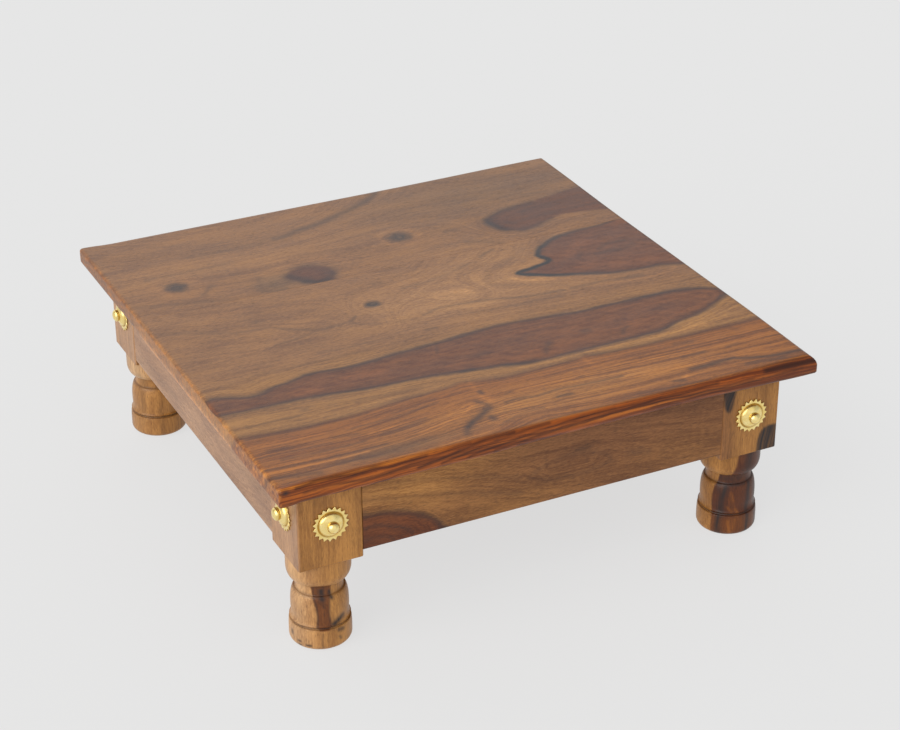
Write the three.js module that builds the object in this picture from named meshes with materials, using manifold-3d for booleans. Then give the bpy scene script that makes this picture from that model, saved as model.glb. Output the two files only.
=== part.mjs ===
// Low square table (bajot) in solid rosewood: a two-board top on four aprons, four turned legs with
// square head blocks, and brass rosettes nailed to the blocks. Millimetres, +Z up, origin on the floor
// under the middle of the top, grain of the top along X.

import * as THREE from 'three';
import { mergeVertices } from 'three/addons/utils/BufferGeometryUtils.js';
import Module from 'manifold-3d';

const wasm = await Module();
wasm.setup();

// Whole table
const topSide = 381;
const tableHeight = 137;

// Top
const topThickness = 12.5;
const backBoardWidth = 132;
const topUpperRound = 4;
const topLowerRound = 2;
const topCornerRadius = 2;
const topOverhang = 17;

// Legs: square head block
const blockSide = 43.5;
const blockEdgeBevel = 0.8;
const blockSeatFlat = 9;
const turnedHeight = 64.5;

// Legs: turned foot, from the floor up
const footRadius = 20.2;
const footTopRadius = 19.9;
const footLowerRound = 4;
const footHeight = 15.6;
const footBarrelHeight = 10;
const grooveHeight = 1.6;
const grooveDepth = 1.3;
const lipRadius = 19.6;
const flareHeight = 3.6;
const waistRadius = 18.4;
const bellyRadius = 18.6;
const bellyHeight = 6.4;
const vaseTopRadius = 16;
const collarRadius = 15.5;
const collarDip = 0.35;
const collarHeight = 7.4;
const bowlRadius = 20.8;
const bowlFootRadius = 16.2;
const bowlHeight = 18.3;
const bowlCurveHeight = 8.6;

// Aprons
const apronHeight = 55.5;
const apronThickness = 19;
const apronRecess = 0.4;
const tenonThickness = 8;
const tenonLength = 16;
const tenonShoulder = 7;

// Corner braces
const braceThickness = 14;
const braceHeight = 28;
const topScrewSpacing = 40;

// Brass rosettes and their nails
const rosetteTeeth = 19;
const rosetteRadius = 12.1;
const toothDepth = 1.9;
const rosettePlate = 0.8;
const domeRadius = 8.5;
const domeRise = 3.4;
const domeFlatRadius = 3;
const rosetteDrop = 30.2;
const sideRosetteLift = 2.4;
const nailHeadRadius = 4;
const nailHeadRise = 3.6;
const nailShankRadius = 1.1;
const nailLength = 19;
const nailPoint = 3;

// Screws
const screwHeadRadius = 3.6;
const screwHeadRise = 2.2;
const screwShankRadius = 1.9;
const screwPoint = 5;
const screwSlotWidth = 1;
const screwSlotDepth = 1;
const screwHold = 8;
const legScrewLength = 32;

// Fits
const glueLine = 0.1;
const fitGap = 0.3;
const overrun = 2;

// Counts
const cornerSteps = 3;
const edgeSteps = 3;
const turnedSegments = 24;
const arcSteps = 3;
const smallSegments = 12;
const sideNames = ['front', 'right', 'back', 'left'];
const cornerNames = ['front_left', 'front_right', 'back_right', 'back_left'];
const quarterTurn = Math.PI / 2;

// Places worked out from the sizes
const halfTop = topSide / 2;
const topUnderside = tableHeight - topThickness;
const frameTop = topUnderside - glueLine;
const blockFace = halfTop - topOverhang;
const blockInner = blockFace - blockSide;
const legCentre = blockFace - blockSide / 2;
const boardJoint = halfTop - backBoardWidth;
const apronFace = blockFace - apronRecess;
const apronBottom = topUnderside - apronHeight;
const braceBottom = topUnderside - braceHeight;
const braceSeat = 2 * blockInner + blockSeatFlat / Math.SQRT2;

// Finishes
function finish(color, roughness, metalness) {
  return { color, roughness, metalness };
}

const finishes = {
  topFront: finish(0x8a4f2a, 0.42, 0),
  topBack: finish(0x91694a, 0.42, 0),
  apron: finish(0x7c5636, 0.5, 0),
  leg: finish(0xa8763f, 0.45, 0),
  brace: finish(0x9c7750, 0.7, 0),
  brass: finish(0xd9b25a, 0.3, 1),
  steel: finish(0x9a9a96, 0.4, 1),
};

// Solids and meshes
function toSolid(geometry) {
  const bare = geometry.clone();
  bare.deleteAttribute('normal');
  bare.deleteAttribute('uv');
  const merged = mergeVertices(bare);
  const source = merged.index.array;
  const corners = merged.attributes.position;
  const triangles = [];
  for (let i = 0; i < source.length; i += 3) {
    const [a, b, c] = [source[i], source[i + 1], source[i + 2]];
    if (a !== b && b !== c && a !== c) triangles.push(a, b, c);
  }
  return new wasm.Manifold(new wasm.Mesh({
    numProp: 3,
    vertProperties: new Float32Array(corners.array),
    triVerts: new Uint32Array(triangles),
  }));
}

function toGeometry(solid) {
  const mesh = solid.getMesh();
  const geometry = new THREE.BufferGeometry();
  geometry.setAttribute('position', new THREE.BufferAttribute(mesh.vertProperties, mesh.numProp));
  geometry.setIndex(new THREE.BufferAttribute(mesh.triVerts, 1));
  geometry.computeVertexNormals();
  return geometry;
}

function cutAway(solid, cutters) {
  return cutters.reduce((rest, cutter) => rest.subtract(cutter), solid);
}

function part(name, geometry, look) {
  const mesh = new THREE.Mesh(geometry, new THREE.MeshStandardMaterial(look));
  mesh.name = name;
  return mesh;
}

// A box between two corners
function boxBetween(low, high) {
  const size = high.map((value, axis) => value - low[axis]);
  const geometry = new THREE.BoxGeometry(...size);
  return geometry.translate(...low.map((value, axis) => value + size[axis] / 2));
}

// A body turned about Z from a profile of [radius, height] pairs that starts and ends on the axis
function turned(profile, segments) {
  const points = profile.map(([radius, height]) => new THREE.Vector2(radius, height));
  return new THREE.LatheGeometry(points, segments).rotateX(quarterTurn);
}

// Points on an elliptical arc, the last one included and the first one left out
function arc(centre, radii, from, to) {
  const points = [];
  for (let i = 1; i <= arcSteps; i += 1) {
    const angle = from + (to - from) * i / arcSteps;
    points.push([centre[0] + radii[0] * Math.cos(angle), centre[1] + radii[1] * Math.sin(angle)]);
  }
  return points;
}

// A closed body through level rings of equal count, listed from the lowest to the highest
function stacked(rings) {
  const count = rings[0].length;
  const positions = rings.flat(2);
  const triangles = [];
  for (let level = 0; level < rings.length - 1; level += 1) {
    for (let i = 0; i < count; i += 1) {
      const a = level * count + i;
      const b = level * count + (i + 1) % count;
      triangles.push(a, b, b + count, a, b + count, a + count);
    }
  }
  const lastRing = (rings.length - 1) * count;
  for (let i = 1; i < count - 1; i += 1) {
    triangles.push(0, i + 1, i, lastRing, lastRing + i, lastRing + i + 1);
  }
  const geometry = new THREE.BufferGeometry();
  geometry.setAttribute('position', new THREE.Float32BufferAttribute(positions, 3));
  geometry.setIndex(triangles);
  return geometry;
}

// Top

// A level square ring with round corners, drawn in from the top's edge by an inset
function roundedSquare(inset, height) {
  const radius = Math.max(topCornerRadius - inset, topCornerRadius / (cornerSteps + 1));
  const centre = halfTop - inset - radius;
  const ring = [];
  for (let corner = 0; corner < cornerNames.length; corner += 1) {
    for (let i = 0; i <= cornerSteps; i += 1) {
      const angle = (corner + i / cornerSteps) * quarterTurn;
      const turn = (corner + 0.5) * quarterTurn;
      const x = centre * Math.SQRT2 * Math.cos(turn) + radius * Math.cos(angle);
      const y = centre * Math.SQRT2 * Math.sin(turn) + radius * Math.sin(angle);
      ring.push([x, y, height]);
    }
  }
  return ring;
}

function topSlab() {
  const rings = [];
  for (let i = 0; i <= edgeSteps; i += 1) {
    const angle = quarterTurn * i / edgeSteps;
    const inset = topLowerRound * (1 - Math.sin(angle));
    rings.push(roundedSquare(inset, topUnderside + topLowerRound * (1 - Math.cos(angle))));
  }
  for (let i = 0; i <= edgeSteps; i += 1) {
    const angle = quarterTurn * i / edgeSteps;
    const inset = topUpperRound * (1 - Math.cos(angle));
    rings.push(roundedSquare(inset, tableHeight - topUpperRound * (1 - Math.sin(angle))));
  }
  return toSolid(stacked(rings));
}

function makeTop() {
  const slab = cutAway(topSlab(), topScrewPlaces().map(topScrewHole));
  const low = topUnderside - overrun;
  const high = tableHeight + overrun;
  const edge = halfTop + overrun;
  const front = toSolid(boxBetween([-edge, -edge, low], [edge, boardJoint - glueLine / 2, high]));
  const back = toSolid(boxBetween([-edge, boardJoint + glueLine / 2, low], [edge, edge, high]));
  return [
    part('top_board_front', toGeometry(slab.intersect(front)), finishes.topFront),
    part('top_board_back', toGeometry(slab.intersect(back)), finishes.topBack),
  ];
}

// Aprons, tenoned into the head blocks

// The bar that makes both tenons of the front apron, larger by a gap all round where it cuts mortises
function tenonBar(gap) {
  const reach = blockInner + tenonLength + gap;
  const middle = -apronFace + apronThickness / 2;
  const half = tenonThickness / 2 + gap;
  return boxBetween(
    [-reach, middle - half, apronBottom + tenonShoulder - gap],
    [reach, middle + half, frameTop - tenonShoulder + gap],
  );
}

function apronGeometry() {
  const end = blockInner - glueLine;
  const board = boxBetween([-end, -apronFace, apronBottom], [end, -apronFace + apronThickness, frameTop]);
  return toGeometry(toSolid(board).add(toSolid(tenonBar(0))));
}

function makeAprons() {
  return sideNames.map((side, index) => {
    const apron = part(`apron_${side}`, apronGeometry(), finishes.apron);
    apron.rotation.z = index * quarterTurn;
    return apron;
  });
}

// Legs, each one turned from a square blank

function turnedProfile() {
  const grooveMiddle = footHeight + grooveHeight / 2;
  const lip = footHeight + grooveHeight;
  const waist = lip + flareHeight;
  const belly = waist + bellyHeight;
  const bowlFoot = turnedHeight - bowlHeight;
  const shoulder = bowlFoot - collarHeight;
  const collarMiddle = shoulder + collarHeight / 2;
  const bowlTurn = bowlFoot + bowlCurveHeight;
  const treadRadius = footRadius - footLowerRound;
  const vaseSize = [bellyRadius - vaseTopRadius, shoulder - belly];
  const bowlSize = [bowlRadius - bowlFootRadius, bowlCurveHeight];
  return [
    [0, 0],
    [treadRadius, 0],
    ...arc([treadRadius, footLowerRound], [footLowerRound, footLowerRound], -quarterTurn, 0),
    [footRadius, footBarrelHeight],
    [footTopRadius, footHeight],
    [footTopRadius - grooveDepth, grooveMiddle],
    [lipRadius, lip],
    ...arc([lipRadius, waist], [lipRadius - waistRadius, flareHeight], -quarterTurn, -2 * quarterTurn),
    [bellyRadius, belly],
    ...arc([vaseTopRadius, belly], vaseSize, 0, quarterTurn),
    [collarRadius, shoulder],
    [collarRadius - collarDip, collarMiddle],
    [collarRadius, bowlFoot],
    [bowlFootRadius, bowlFoot],
    ...arc([bowlFootRadius, bowlTurn], bowlSize, -quarterTurn, 0),
    [bowlRadius, turnedHeight + overrun],
    [0, turnedHeight + overrun],
  ];
}

// The head block's outline: small bevels on three edges, a wide flat for the brace on the inner one
function blockOutline() {
  const far = -blockFace;
  const near = -blockInner;
  const flat = blockSeatFlat / Math.SQRT2;
  return new THREE.Shape([
    new THREE.Vector2(far + blockEdgeBevel, far),
    new THREE.Vector2(near - blockEdgeBevel, far),
    new THREE.Vector2(near, far + blockEdgeBevel),
    new THREE.Vector2(near, near - flat),
    new THREE.Vector2(near - flat, near),
    new THREE.Vector2(far + blockEdgeBevel, near),
    new THREE.Vector2(far, near - blockEdgeBevel),
    new THREE.Vector2(far, far + blockEdgeBevel),
  ]);
}

function legSolid() {
  const depth = frameTop - turnedHeight;
  const block = new THREE.ExtrudeGeometry(blockOutline(), { depth, bevelEnabled: false });
  block.translate(0, 0, turnedHeight);
  const foot = turned(turnedProfile(), turnedSegments).translate(-legCentre, -legCentre, 0);
  return toSolid(block).add(toSolid(foot));
}

function makeLegs() {
  const frontMortise = toSolid(tenonBar(fitGap));
  const leftMortise = toSolid(tenonBar(fitGap).rotateZ(-quarterTurn));
  const solid = legSolid();
  return cornerNames.map((corner, index) => {
    const nailHoles = [nailHole(index, -1), nailHole(index + sideNames.length - 1, 1)];
    const cutters = [frontMortise, leftMortise, ...nailHoles, legScrewHole()];
    const leg = part(`leg_${corner}`, toGeometry(cutAway(solid, cutters)), finishes.leg);
    leg.rotation.z = index * quarterTurn;
    return leg;
  });
}

// Rosettes and nails, made about Z with the wood at height 0 and then laid on a block's face

function rosetteGeometry() {
  const outline = [];
  for (let i = 0; i < 2 * rosetteTeeth; i += 1) {
    const radius = i % 2 === 0 ? rosetteRadius : rosetteRadius - toothDepth;
    const angle = i * Math.PI / rosetteTeeth;
    outline.push(new THREE.Vector2(radius * Math.cos(angle), radius * Math.sin(angle)));
  }
  const plateShape = new THREE.Shape(outline);
  const plate = new THREE.ExtrudeGeometry(plateShape, { depth: rosettePlate, bevelEnabled: false });
  const domeTop = rosettePlate + domeRise;
  const innerRadius = domeRadius - rosettePlate;
  const hole = nailShankRadius + fitGap;
  const dome = turned([
    [0, 0],
    [domeRadius, 0],
    [domeRadius, rosettePlate],
    ...arc([domeFlatRadius, rosettePlate], [domeRadius - domeFlatRadius, domeRise], 0, quarterTurn),
    [0, domeTop],
  ], rosetteTeeth);
  const hollow = turned([
    [0, -overrun],
    [innerRadius, -overrun],
    [innerRadius, 0],
    ...arc([domeFlatRadius, 0], [innerRadius - domeFlatRadius, domeRise], 0, quarterTurn),
    [hole, domeRise],
    [hole, domeTop + overrun],
    [0, domeTop + overrun],
  ], rosetteTeeth);
  return toGeometry(toSolid(plate).add(toSolid(dome)).subtract(toSolid(hollow)));
}

// A nail with its head's flat underside at height 0 and its point below
function nailGeometry() {
  const profile = [
    [0, -nailLength],
    [nailShankRadius, nailPoint - nailLength],
    [nailShankRadius, 0],
    [nailHeadRadius, 0],
    ...arc([0, 0], [nailHeadRadius, nailHeadRise], 0, quarterTurn),
  ];
  return turned(profile, smallSegments);
}

// How high a rosette sits on a side of the table: a drop below the top, less on the left and right,
// so that the two nails in one block pass each other
function rosetteLevel(sideIndex) {
  return topUnderside - rosetteDrop + (sideIndex % 2) * sideRosetteLift;
}

// A group on one side's faces, with its own +Z pointing out of the wood
function onFace(sideIndex, end, standOff, piece) {
  const seat = new THREE.Group();
  seat.position.set(end * legCentre, -blockFace - standOff, rosetteLevel(sideIndex));
  seat.rotation.x = quarterTurn;
  seat.add(piece);
  const side = new THREE.Group();
  side.rotation.z = sideIndex * quarterTurn;
  side.add(seat);
  return side;
}

// The nail's hole in the front left block, for the face that this side index and end stand for
function nailHole(sideIndex, end) {
  const length = nailLength - rosettePlate - domeRise;
  const bore = turned([
    [0, -length - fitGap],
    [nailShankRadius + fitGap, -length - fitGap],
    [nailShankRadius + fitGap, overrun],
    [0, overrun],
  ], smallSegments);
  bore.rotateX(quarterTurn);
  bore.translate(end * legCentre, -blockFace, rosetteLevel(sideIndex));
  if (end > 0) bore.rotateZ(-quarterTurn);
  return toSolid(bore);
}

function makeBrass() {
  const pieces = [];
  sideNames.forEach((side, sideIndex) => {
    for (const end of [-1, 1]) {
      const corner = cornerNames[end < 0 ? sideIndex : (sideIndex + 1) % cornerNames.length];
      const rosette = part(`rosette_${corner}_${side}_face`, rosetteGeometry(), finishes.brass);
      const nail = part(`nail_${corner}_${side}_face`, nailGeometry(), finishes.brass);
      const headSeat = rosettePlate + domeRise + 2 * fitGap;
      pieces.push(onFace(sideIndex, end, fitGap, rosette), onFace(sideIndex, end, headSeat, nail));
    }
  });
  return pieces;
}

// Corner braces and their screws

function braceGeometry() {
  const nearSum = braceSeat - glueLine * Math.SQRT2;
  const farSum = nearSum - braceThickness * Math.SQRT2;
  const wall = apronFace - apronThickness - glueLine;
  const outline = new THREE.Shape([
    new THREE.Vector2(-wall, wall - nearSum),
    new THREE.Vector2(wall - nearSum, -wall),
    new THREE.Vector2(wall - farSum, -wall),
    new THREE.Vector2(-wall, wall - farSum),
  ]);
  const depth = frameTop - braceBottom;
  const block = new THREE.ExtrudeGeometry(outline, { depth, bevelEnabled: false });
  block.translate(0, 0, braceBottom);
  const holes = [legScrewHole(), topScrewHole(cornerTopScrew(-1)), topScrewHole(cornerTopScrew(1))];
  return toGeometry(cutAway(toSolid(block), holes));
}

// Where a top screw stands in the front left brace: half a spacing either way along the brace's middle
function cornerTopScrew(way) {
  const middle = -(braceSeat / 2 - braceThickness / Math.SQRT2 / 2);
  const along = way * topScrewSpacing / 2 / Math.SQRT2;
  return new THREE.Vector3(middle + along, middle - along, braceBottom);
}

function topScrewPlaces() {
  const axis = new THREE.Vector3(0, 0, 1);
  return cornerNames.flatMap((corner, index) => [-1, 1].map(
    (way) => cornerTopScrew(way).applyAxisAngle(axis, index * quarterTurn),
  ));
}

// A straight hole for a screw's shank, from its head's seat at height 0 to past its tip
function screwBore(length) {
  return turned([
    [0, -overrun],
    [screwShankRadius + fitGap, -overrun],
    [screwShankRadius + fitGap, length + fitGap],
    [0, length + fitGap],
  ], smallSegments);
}

function topScrewHole(place) {
  return toSolid(screwBore(braceHeight + screwHold).translate(place.x, place.y, place.z));
}

// The leg screw's seat is the middle of the brace's inner face, and its axis runs out through the corner
function legScrewFrame() {
  const reach = braceSeat / Math.SQRT2 - glueLine - braceThickness;
  const frame = new THREE.Group();
  frame.position.set(-reach / Math.SQRT2, -reach / Math.SQRT2, (braceBottom + frameTop) / 2);
  frame.rotation.set(quarterTurn, 0, -quarterTurn / 2, 'ZYX');
  frame.updateMatrix();
  return frame;
}

function legScrewHole() {
  return toSolid(screwBore(legScrewLength).applyMatrix4(legScrewFrame().matrix));
}

// A slotted screw with its head below height 0 and its shank rising from there
function screwGeometry(length) {
  const head = -screwHeadRise - fitGap;
  const body = toSolid(turned([
    [0, head],
    ...arc([0, -fitGap], [screwHeadRadius, screwHeadRise], -quarterTurn, 0),
    [screwShankRadius, -fitGap],
    [screwShankRadius, length - screwPoint],
    [0, length],
  ], smallSegments));
  const wide = screwHeadRadius + overrun;
  const slot = boxBetween(
    [-wide, -screwSlotWidth / 2, head - overrun],
    [wide, screwSlotWidth / 2, head + screwSlotDepth],
  );
  return toGeometry(body.subtract(toSolid(slot)));
}

function makeCorner(corner, index) {
  const group = new THREE.Group();
  group.add(part(`brace_${corner}`, braceGeometry(), finishes.brace));
  const legScrew = legScrewFrame();
  legScrew.add(part(`leg_screw_${corner}`, screwGeometry(legScrewLength), finishes.steel));
  group.add(legScrew);
  [-1, 1].forEach((way, place) => {
    const name = `top_screw_${corner}_${place + 1}`;
    const screw = part(name, screwGeometry(braceHeight + screwHold), finishes.steel);
    screw.position.copy(cornerTopScrew(way));
    group.add(screw);
  });
  group.rotation.z = index * quarterTurn;
  return group;
}

const table = new THREE.Group();
table.add(...makeTop(), ...makeAprons(), ...makeLegs(), ...makeBrass(), ...cornerNames.map(makeCorner));

export default table;
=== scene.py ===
"""Dresses a packed low table (bajot): two figured rosewood boards on aprons and turned legs, with brass.

Shapes and wood figure are drawn in millimetres on the frame's axes: x along the grain of the top, y to
the back, z up. Every board, apron and leg is a closed grid of points that carries four fields of its wood:
grain (the place along, across and through its own grain), growth (level of the growth surface, how
strongly it shows, how dark a heart patch is outlined), marks (signed distance to the rim of a dark heart
patch, dark ink, which also holds painted shade in the legs' turned grooves, light gleam) and tone (the
wood's own colour with a painted highlight and a painted rosy sheen on the sides that the key light
reaches, and as alpha how flecked it is). One wood finish reads them all.
"""

import math

import bpy
import numpy as np
from mathutils import Matrix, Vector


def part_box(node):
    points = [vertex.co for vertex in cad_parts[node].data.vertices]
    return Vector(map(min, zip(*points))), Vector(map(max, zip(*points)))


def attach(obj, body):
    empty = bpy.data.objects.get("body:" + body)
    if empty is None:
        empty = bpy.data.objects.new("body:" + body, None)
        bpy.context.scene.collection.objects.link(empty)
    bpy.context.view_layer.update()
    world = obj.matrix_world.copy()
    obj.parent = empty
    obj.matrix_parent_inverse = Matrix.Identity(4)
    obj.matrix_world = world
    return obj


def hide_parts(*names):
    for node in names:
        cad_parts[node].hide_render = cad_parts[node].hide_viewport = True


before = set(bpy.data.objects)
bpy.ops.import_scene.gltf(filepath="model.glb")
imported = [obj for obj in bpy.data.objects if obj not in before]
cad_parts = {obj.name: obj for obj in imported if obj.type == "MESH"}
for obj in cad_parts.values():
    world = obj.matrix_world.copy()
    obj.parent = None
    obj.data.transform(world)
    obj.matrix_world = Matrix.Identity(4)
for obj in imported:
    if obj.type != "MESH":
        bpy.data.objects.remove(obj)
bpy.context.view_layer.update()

MM = 0.001
QUARTER = math.pi / 2
SIDES = ["front", "right", "back", "left"]
CORNERS = ["front_left", "front_right", "back_right", "back_left"]

# Drawn curves: parts between two drawn points, and how far off a rim its distance is followed
CURVE_PARTS = 12
RIM_REACH = 30.0
# Growth surface: how far apart its pins stand on a drawn line, its unit of length, and its slack
PIN_SPACING = 12.0
PLATE_UNIT = 100.0
PLATE_SLACK = 0.002
# Meshes: points that agree to such a part of a millimetre are welded, and edges over this angle stay sharp
WELD_PARTS = 2000
SHARP_ANGLE = math.radians(38)


def node_box(node):
    """Lowest and highest corner of a CAD node, in millimetres."""
    low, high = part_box(node)
    return np.array(low) / MM, np.array(high) / MM


# Drawn curves and the fields worked out from them


def curve_through(points, closed=False, step=3.0):
    """Catmull-Rom curve through the drawn points, cut again into equal steps."""
    drawn = np.asarray(points, float)
    if closed:
        ring = np.concatenate([drawn[-1:], drawn, drawn[:2]])
    else:
        ring = np.concatenate([2 * drawn[:1] - drawn[1:2], drawn, 2 * drawn[-1:] - drawn[-2:-1]])
    a, b, c, d = (part[:, None] for part in (ring[:-3], ring[1:-2], ring[2:-1], ring[3:]))
    t = np.linspace(0, 1, CURVE_PARTS, endpoint=False)[None, :, None]
    fine = b + t / 2 * (c - a + t * (2 * a - 5 * b + 4 * c - d + t * (3 * b - a - 3 * c + d)))
    fine = np.concatenate([fine.reshape(-1, 2), drawn[:1] if closed else drawn[-1:]])
    length = np.concatenate([[0], np.cumsum(np.hypot(*np.diff(fine, axis=0).T))])
    at = np.linspace(0, length[-1], max(2, round(length[-1] / step) + 1))
    return np.stack([np.interp(at, length, fine[:, axis]) for axis in (0, 1)], 1)


def distance_to(curve, x, y, reach):
    """Distance to the nearest stretch of a curve, at most the reach: each point drops onto each stretch."""
    best = np.full(x.shape, float(reach))
    low, high = curve.min(0) - reach, curve.max(0) + reach
    near = (x > low[0]) & (x < high[0]) & (y > low[1]) & (y < high[1])
    px, py, nearest = x[near], y[near], best[near]
    for (ax, ay), (bx, by) in zip(curve[:-1], curve[1:]):
        dx, dy = bx - ax, by - ay
        t = np.clip(((px - ax) * dx + (py - ay) * dy) / max(dx * dx + dy * dy, 1e-9), 0, 1)
        nearest = np.minimum(nearest, np.hypot(px - ax - t * dx, py - ay - t * dy))
    best[near] = nearest
    return best


def depth_inside(outline, x, y):
    """Signed distance to a closed outline, positive inside; a ray to the left counts the crossings."""
    curve = curve_through(outline, closed=True)
    inside = np.zeros(x.shape, bool)
    for (ax, ay), (bx, by) in zip(curve[:-1], curve[1:]):
        if ay != by:
            inside ^= ((ay > y) != (by > y)) & (x < ax + (y - ay) * (bx - ax) / (by - ay))
    return np.where(inside, 1, -1) * distance_to(curve, x, y, RIM_REACH)


def stroke(points, half_width, x, y):
    """A soft line: 1 on the drawn curve, falling as a bell to nothing at about twice the half width."""
    curve = curve_through(points)
    return np.exp(-(distance_to(curve, x, y, 4 * half_width) / half_width) ** 2)


def strokes(drawn, x, y):
    """The strongest of many soft lines, each drawn as (strength, half width, points)."""
    total = np.zeros(x.shape)
    for strength, half_width, points in drawn:
        total = np.maximum(total, strength * stroke(points, half_width, x, y))
    return total


def blot(centre, half_sizes, x, y):
    """A soft oval: 1 in the middle, a bell that falls to a third at the half sizes."""
    return np.exp(-(((x - centre[0]) / half_sizes[0]) ** 2 + ((y - centre[1]) / half_sizes[1]) ** 2))


def ripple(x, y, size, seed):
    """Smooth irregular waves between about -1 and 1: six sines with directions and lengths of their own."""
    dice = np.random.default_rng(seed)
    turns, phases, lengths = dice.uniform(0, math.pi, 6), dice.uniform(0, 7, 6), dice.uniform(0.6, 1.6, 6)
    waves = [
        np.sin((x * math.cos(turn) + y * math.sin(turn)) * 7 * length / size + phase)
        for turn, phase, length in zip(turns, phases, lengths)
    ]
    return sum(waves) / 3


def growth_surface(lines, x, y):
    """Thin-plate surface that keeps the level of each drawn growth line and bends least between them.

    It is a slope plus one plate for each pin on the lines: the squared distance times its logarithm.
    """
    curves = [curve_through(points, step=PIN_SPACING) for _, points in lines]
    levels = np.concatenate([np.full(len(c), level) for (level, _), c in zip(lines, curves)])
    pins = np.concatenate(curves) / PLATE_UNIT

    def plate(px, py):
        square = px * px + py * py
        return square * np.log(square + 1e-8)

    count = len(pins)
    bend = plate(pins[:, None, 0] - pins[None, :, 0], pins[:, None, 1] - pins[None, :, 1])
    plane = np.column_stack([np.ones(count), pins])
    system = np.block([[bend + PLATE_SLACK * np.eye(count), plane], [plane.T, np.zeros((3, 3))]])
    weights = np.linalg.solve(system, np.concatenate([levels, np.zeros(3)]))
    level = weights[count] + (weights[count + 1] * x + weights[count + 2] * y) / PLATE_UNIT
    for pin, weight in zip(pins, weights[:count]):
        level += weight * plate(x / PLATE_UNIT - pin[0], y / PLATE_UNIT - pin[1])
    return level


def smooth_step(value, low, high):
    """0 below the low value, 1 above the high one, with an even S between them."""
    t = np.clip((value - low) / (high - low), 0, 1)
    return t * t * (3 - 2 * t)


def painted(tone, *coats):
    """Lays coats of colour over a tone, one after the other, each by its amount from 0 to 1."""
    tone = np.asarray(tone)
    for colour, amount in coats:
        tone = tone + (np.asarray(colour) - tone) * np.asarray(amount)[..., None]
    return tone


# Wood colours, as the clear satin finish leaves them, and two colours of painted light: a highlight and a
# rosy sheen for the sides that the key light reaches
HONEY = (0.36, 0.170, 0.060)
GOLDEN = (0.275, 0.120, 0.028)
OCHRE = (0.40, 0.180, 0.046)
TAWNY = (0.235, 0.100, 0.032)
GREYED = (0.165, 0.078, 0.030)
RUSSET = (0.265, 0.085, 0.009)
CHESTNUT = (0.150, 0.042, 0.006)
HEARTWOOD = (0.074, 0.018, 0.006)
# painted highlight colour for the side of the legs that the key light reaches
LIT_HIGHLIGHT = (0.55, 0.36, 0.21)
EMBER = (0.260, 0.058, 0.004)
BURNT = (0.125, 0.024, 0.003)
AMBER = (0.46, 0.150, 0.016)
UMBER = (0.180, 0.070, 0.024)
SINGED = (0.055, 0.012, 0.002)
# painted rosy sheen colour: the pinkish reflection on faces lit from the left
ROSY_SHEEN = (0.360, 0.200, 0.112)

# Figure of the front board, drawn as seen from above: outlines of the dark hearts, then growth lines
# as (level, points), and ink and gleam as (strength, half width, points)
LENS = [
    (-204, -74), (-187, -67.5), (-176, -69.5), (-165, -74), (-155, -73.5), (-145, -69.5), (-125, -65),
    (-112, -62.5), (-90, -65.3), (-60, -62.5), (-20, -59.8), (10, -56.5), (30, -56), (60, -58.5),
    (80, -61.5), (120, -61.8), (150, -62.3), (170, -65.5), (182, -71), (192, -80), (184, -86.5),
    (170, -95), (155, -101.5), (135, -106.5), (120, -112.3), (100, -113.5), (60, -113.8), (18, -114.5),
    (0, -109.5), (-20, -106.5), (-60, -101), (-80, -100), (-120, -94.5), (-140, -92.5), (-180, -91),
    (-204, -88),
]
WING = [
    (72.5, 8.5), (77, 11.5), (92, 15), (100, 17), (103, 20.5), (99.5, 29), (101, 33), (105, 38.5),
    (110, 43), (125, 51), (143, 55.5), (165, 56.5), (204, 57), (204, -26), (170, -24), (145, -22.5),
    (128, -18), (110, -11), (92, -4), (78, 4),
]
ZONE_LINE = [
    (-204, -120.5), (-180, -122.5), (-150, -126), (-120, -125.8), (-80, -122.5), (-46, -120.5),
    (-36, -118), (-20, -121), (0, -123.3), (47, -122.5), (55, -120), (60, -123), (80, -124.5),
    (120, -125), (150, -124.3), (204, -124.5),
]
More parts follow.
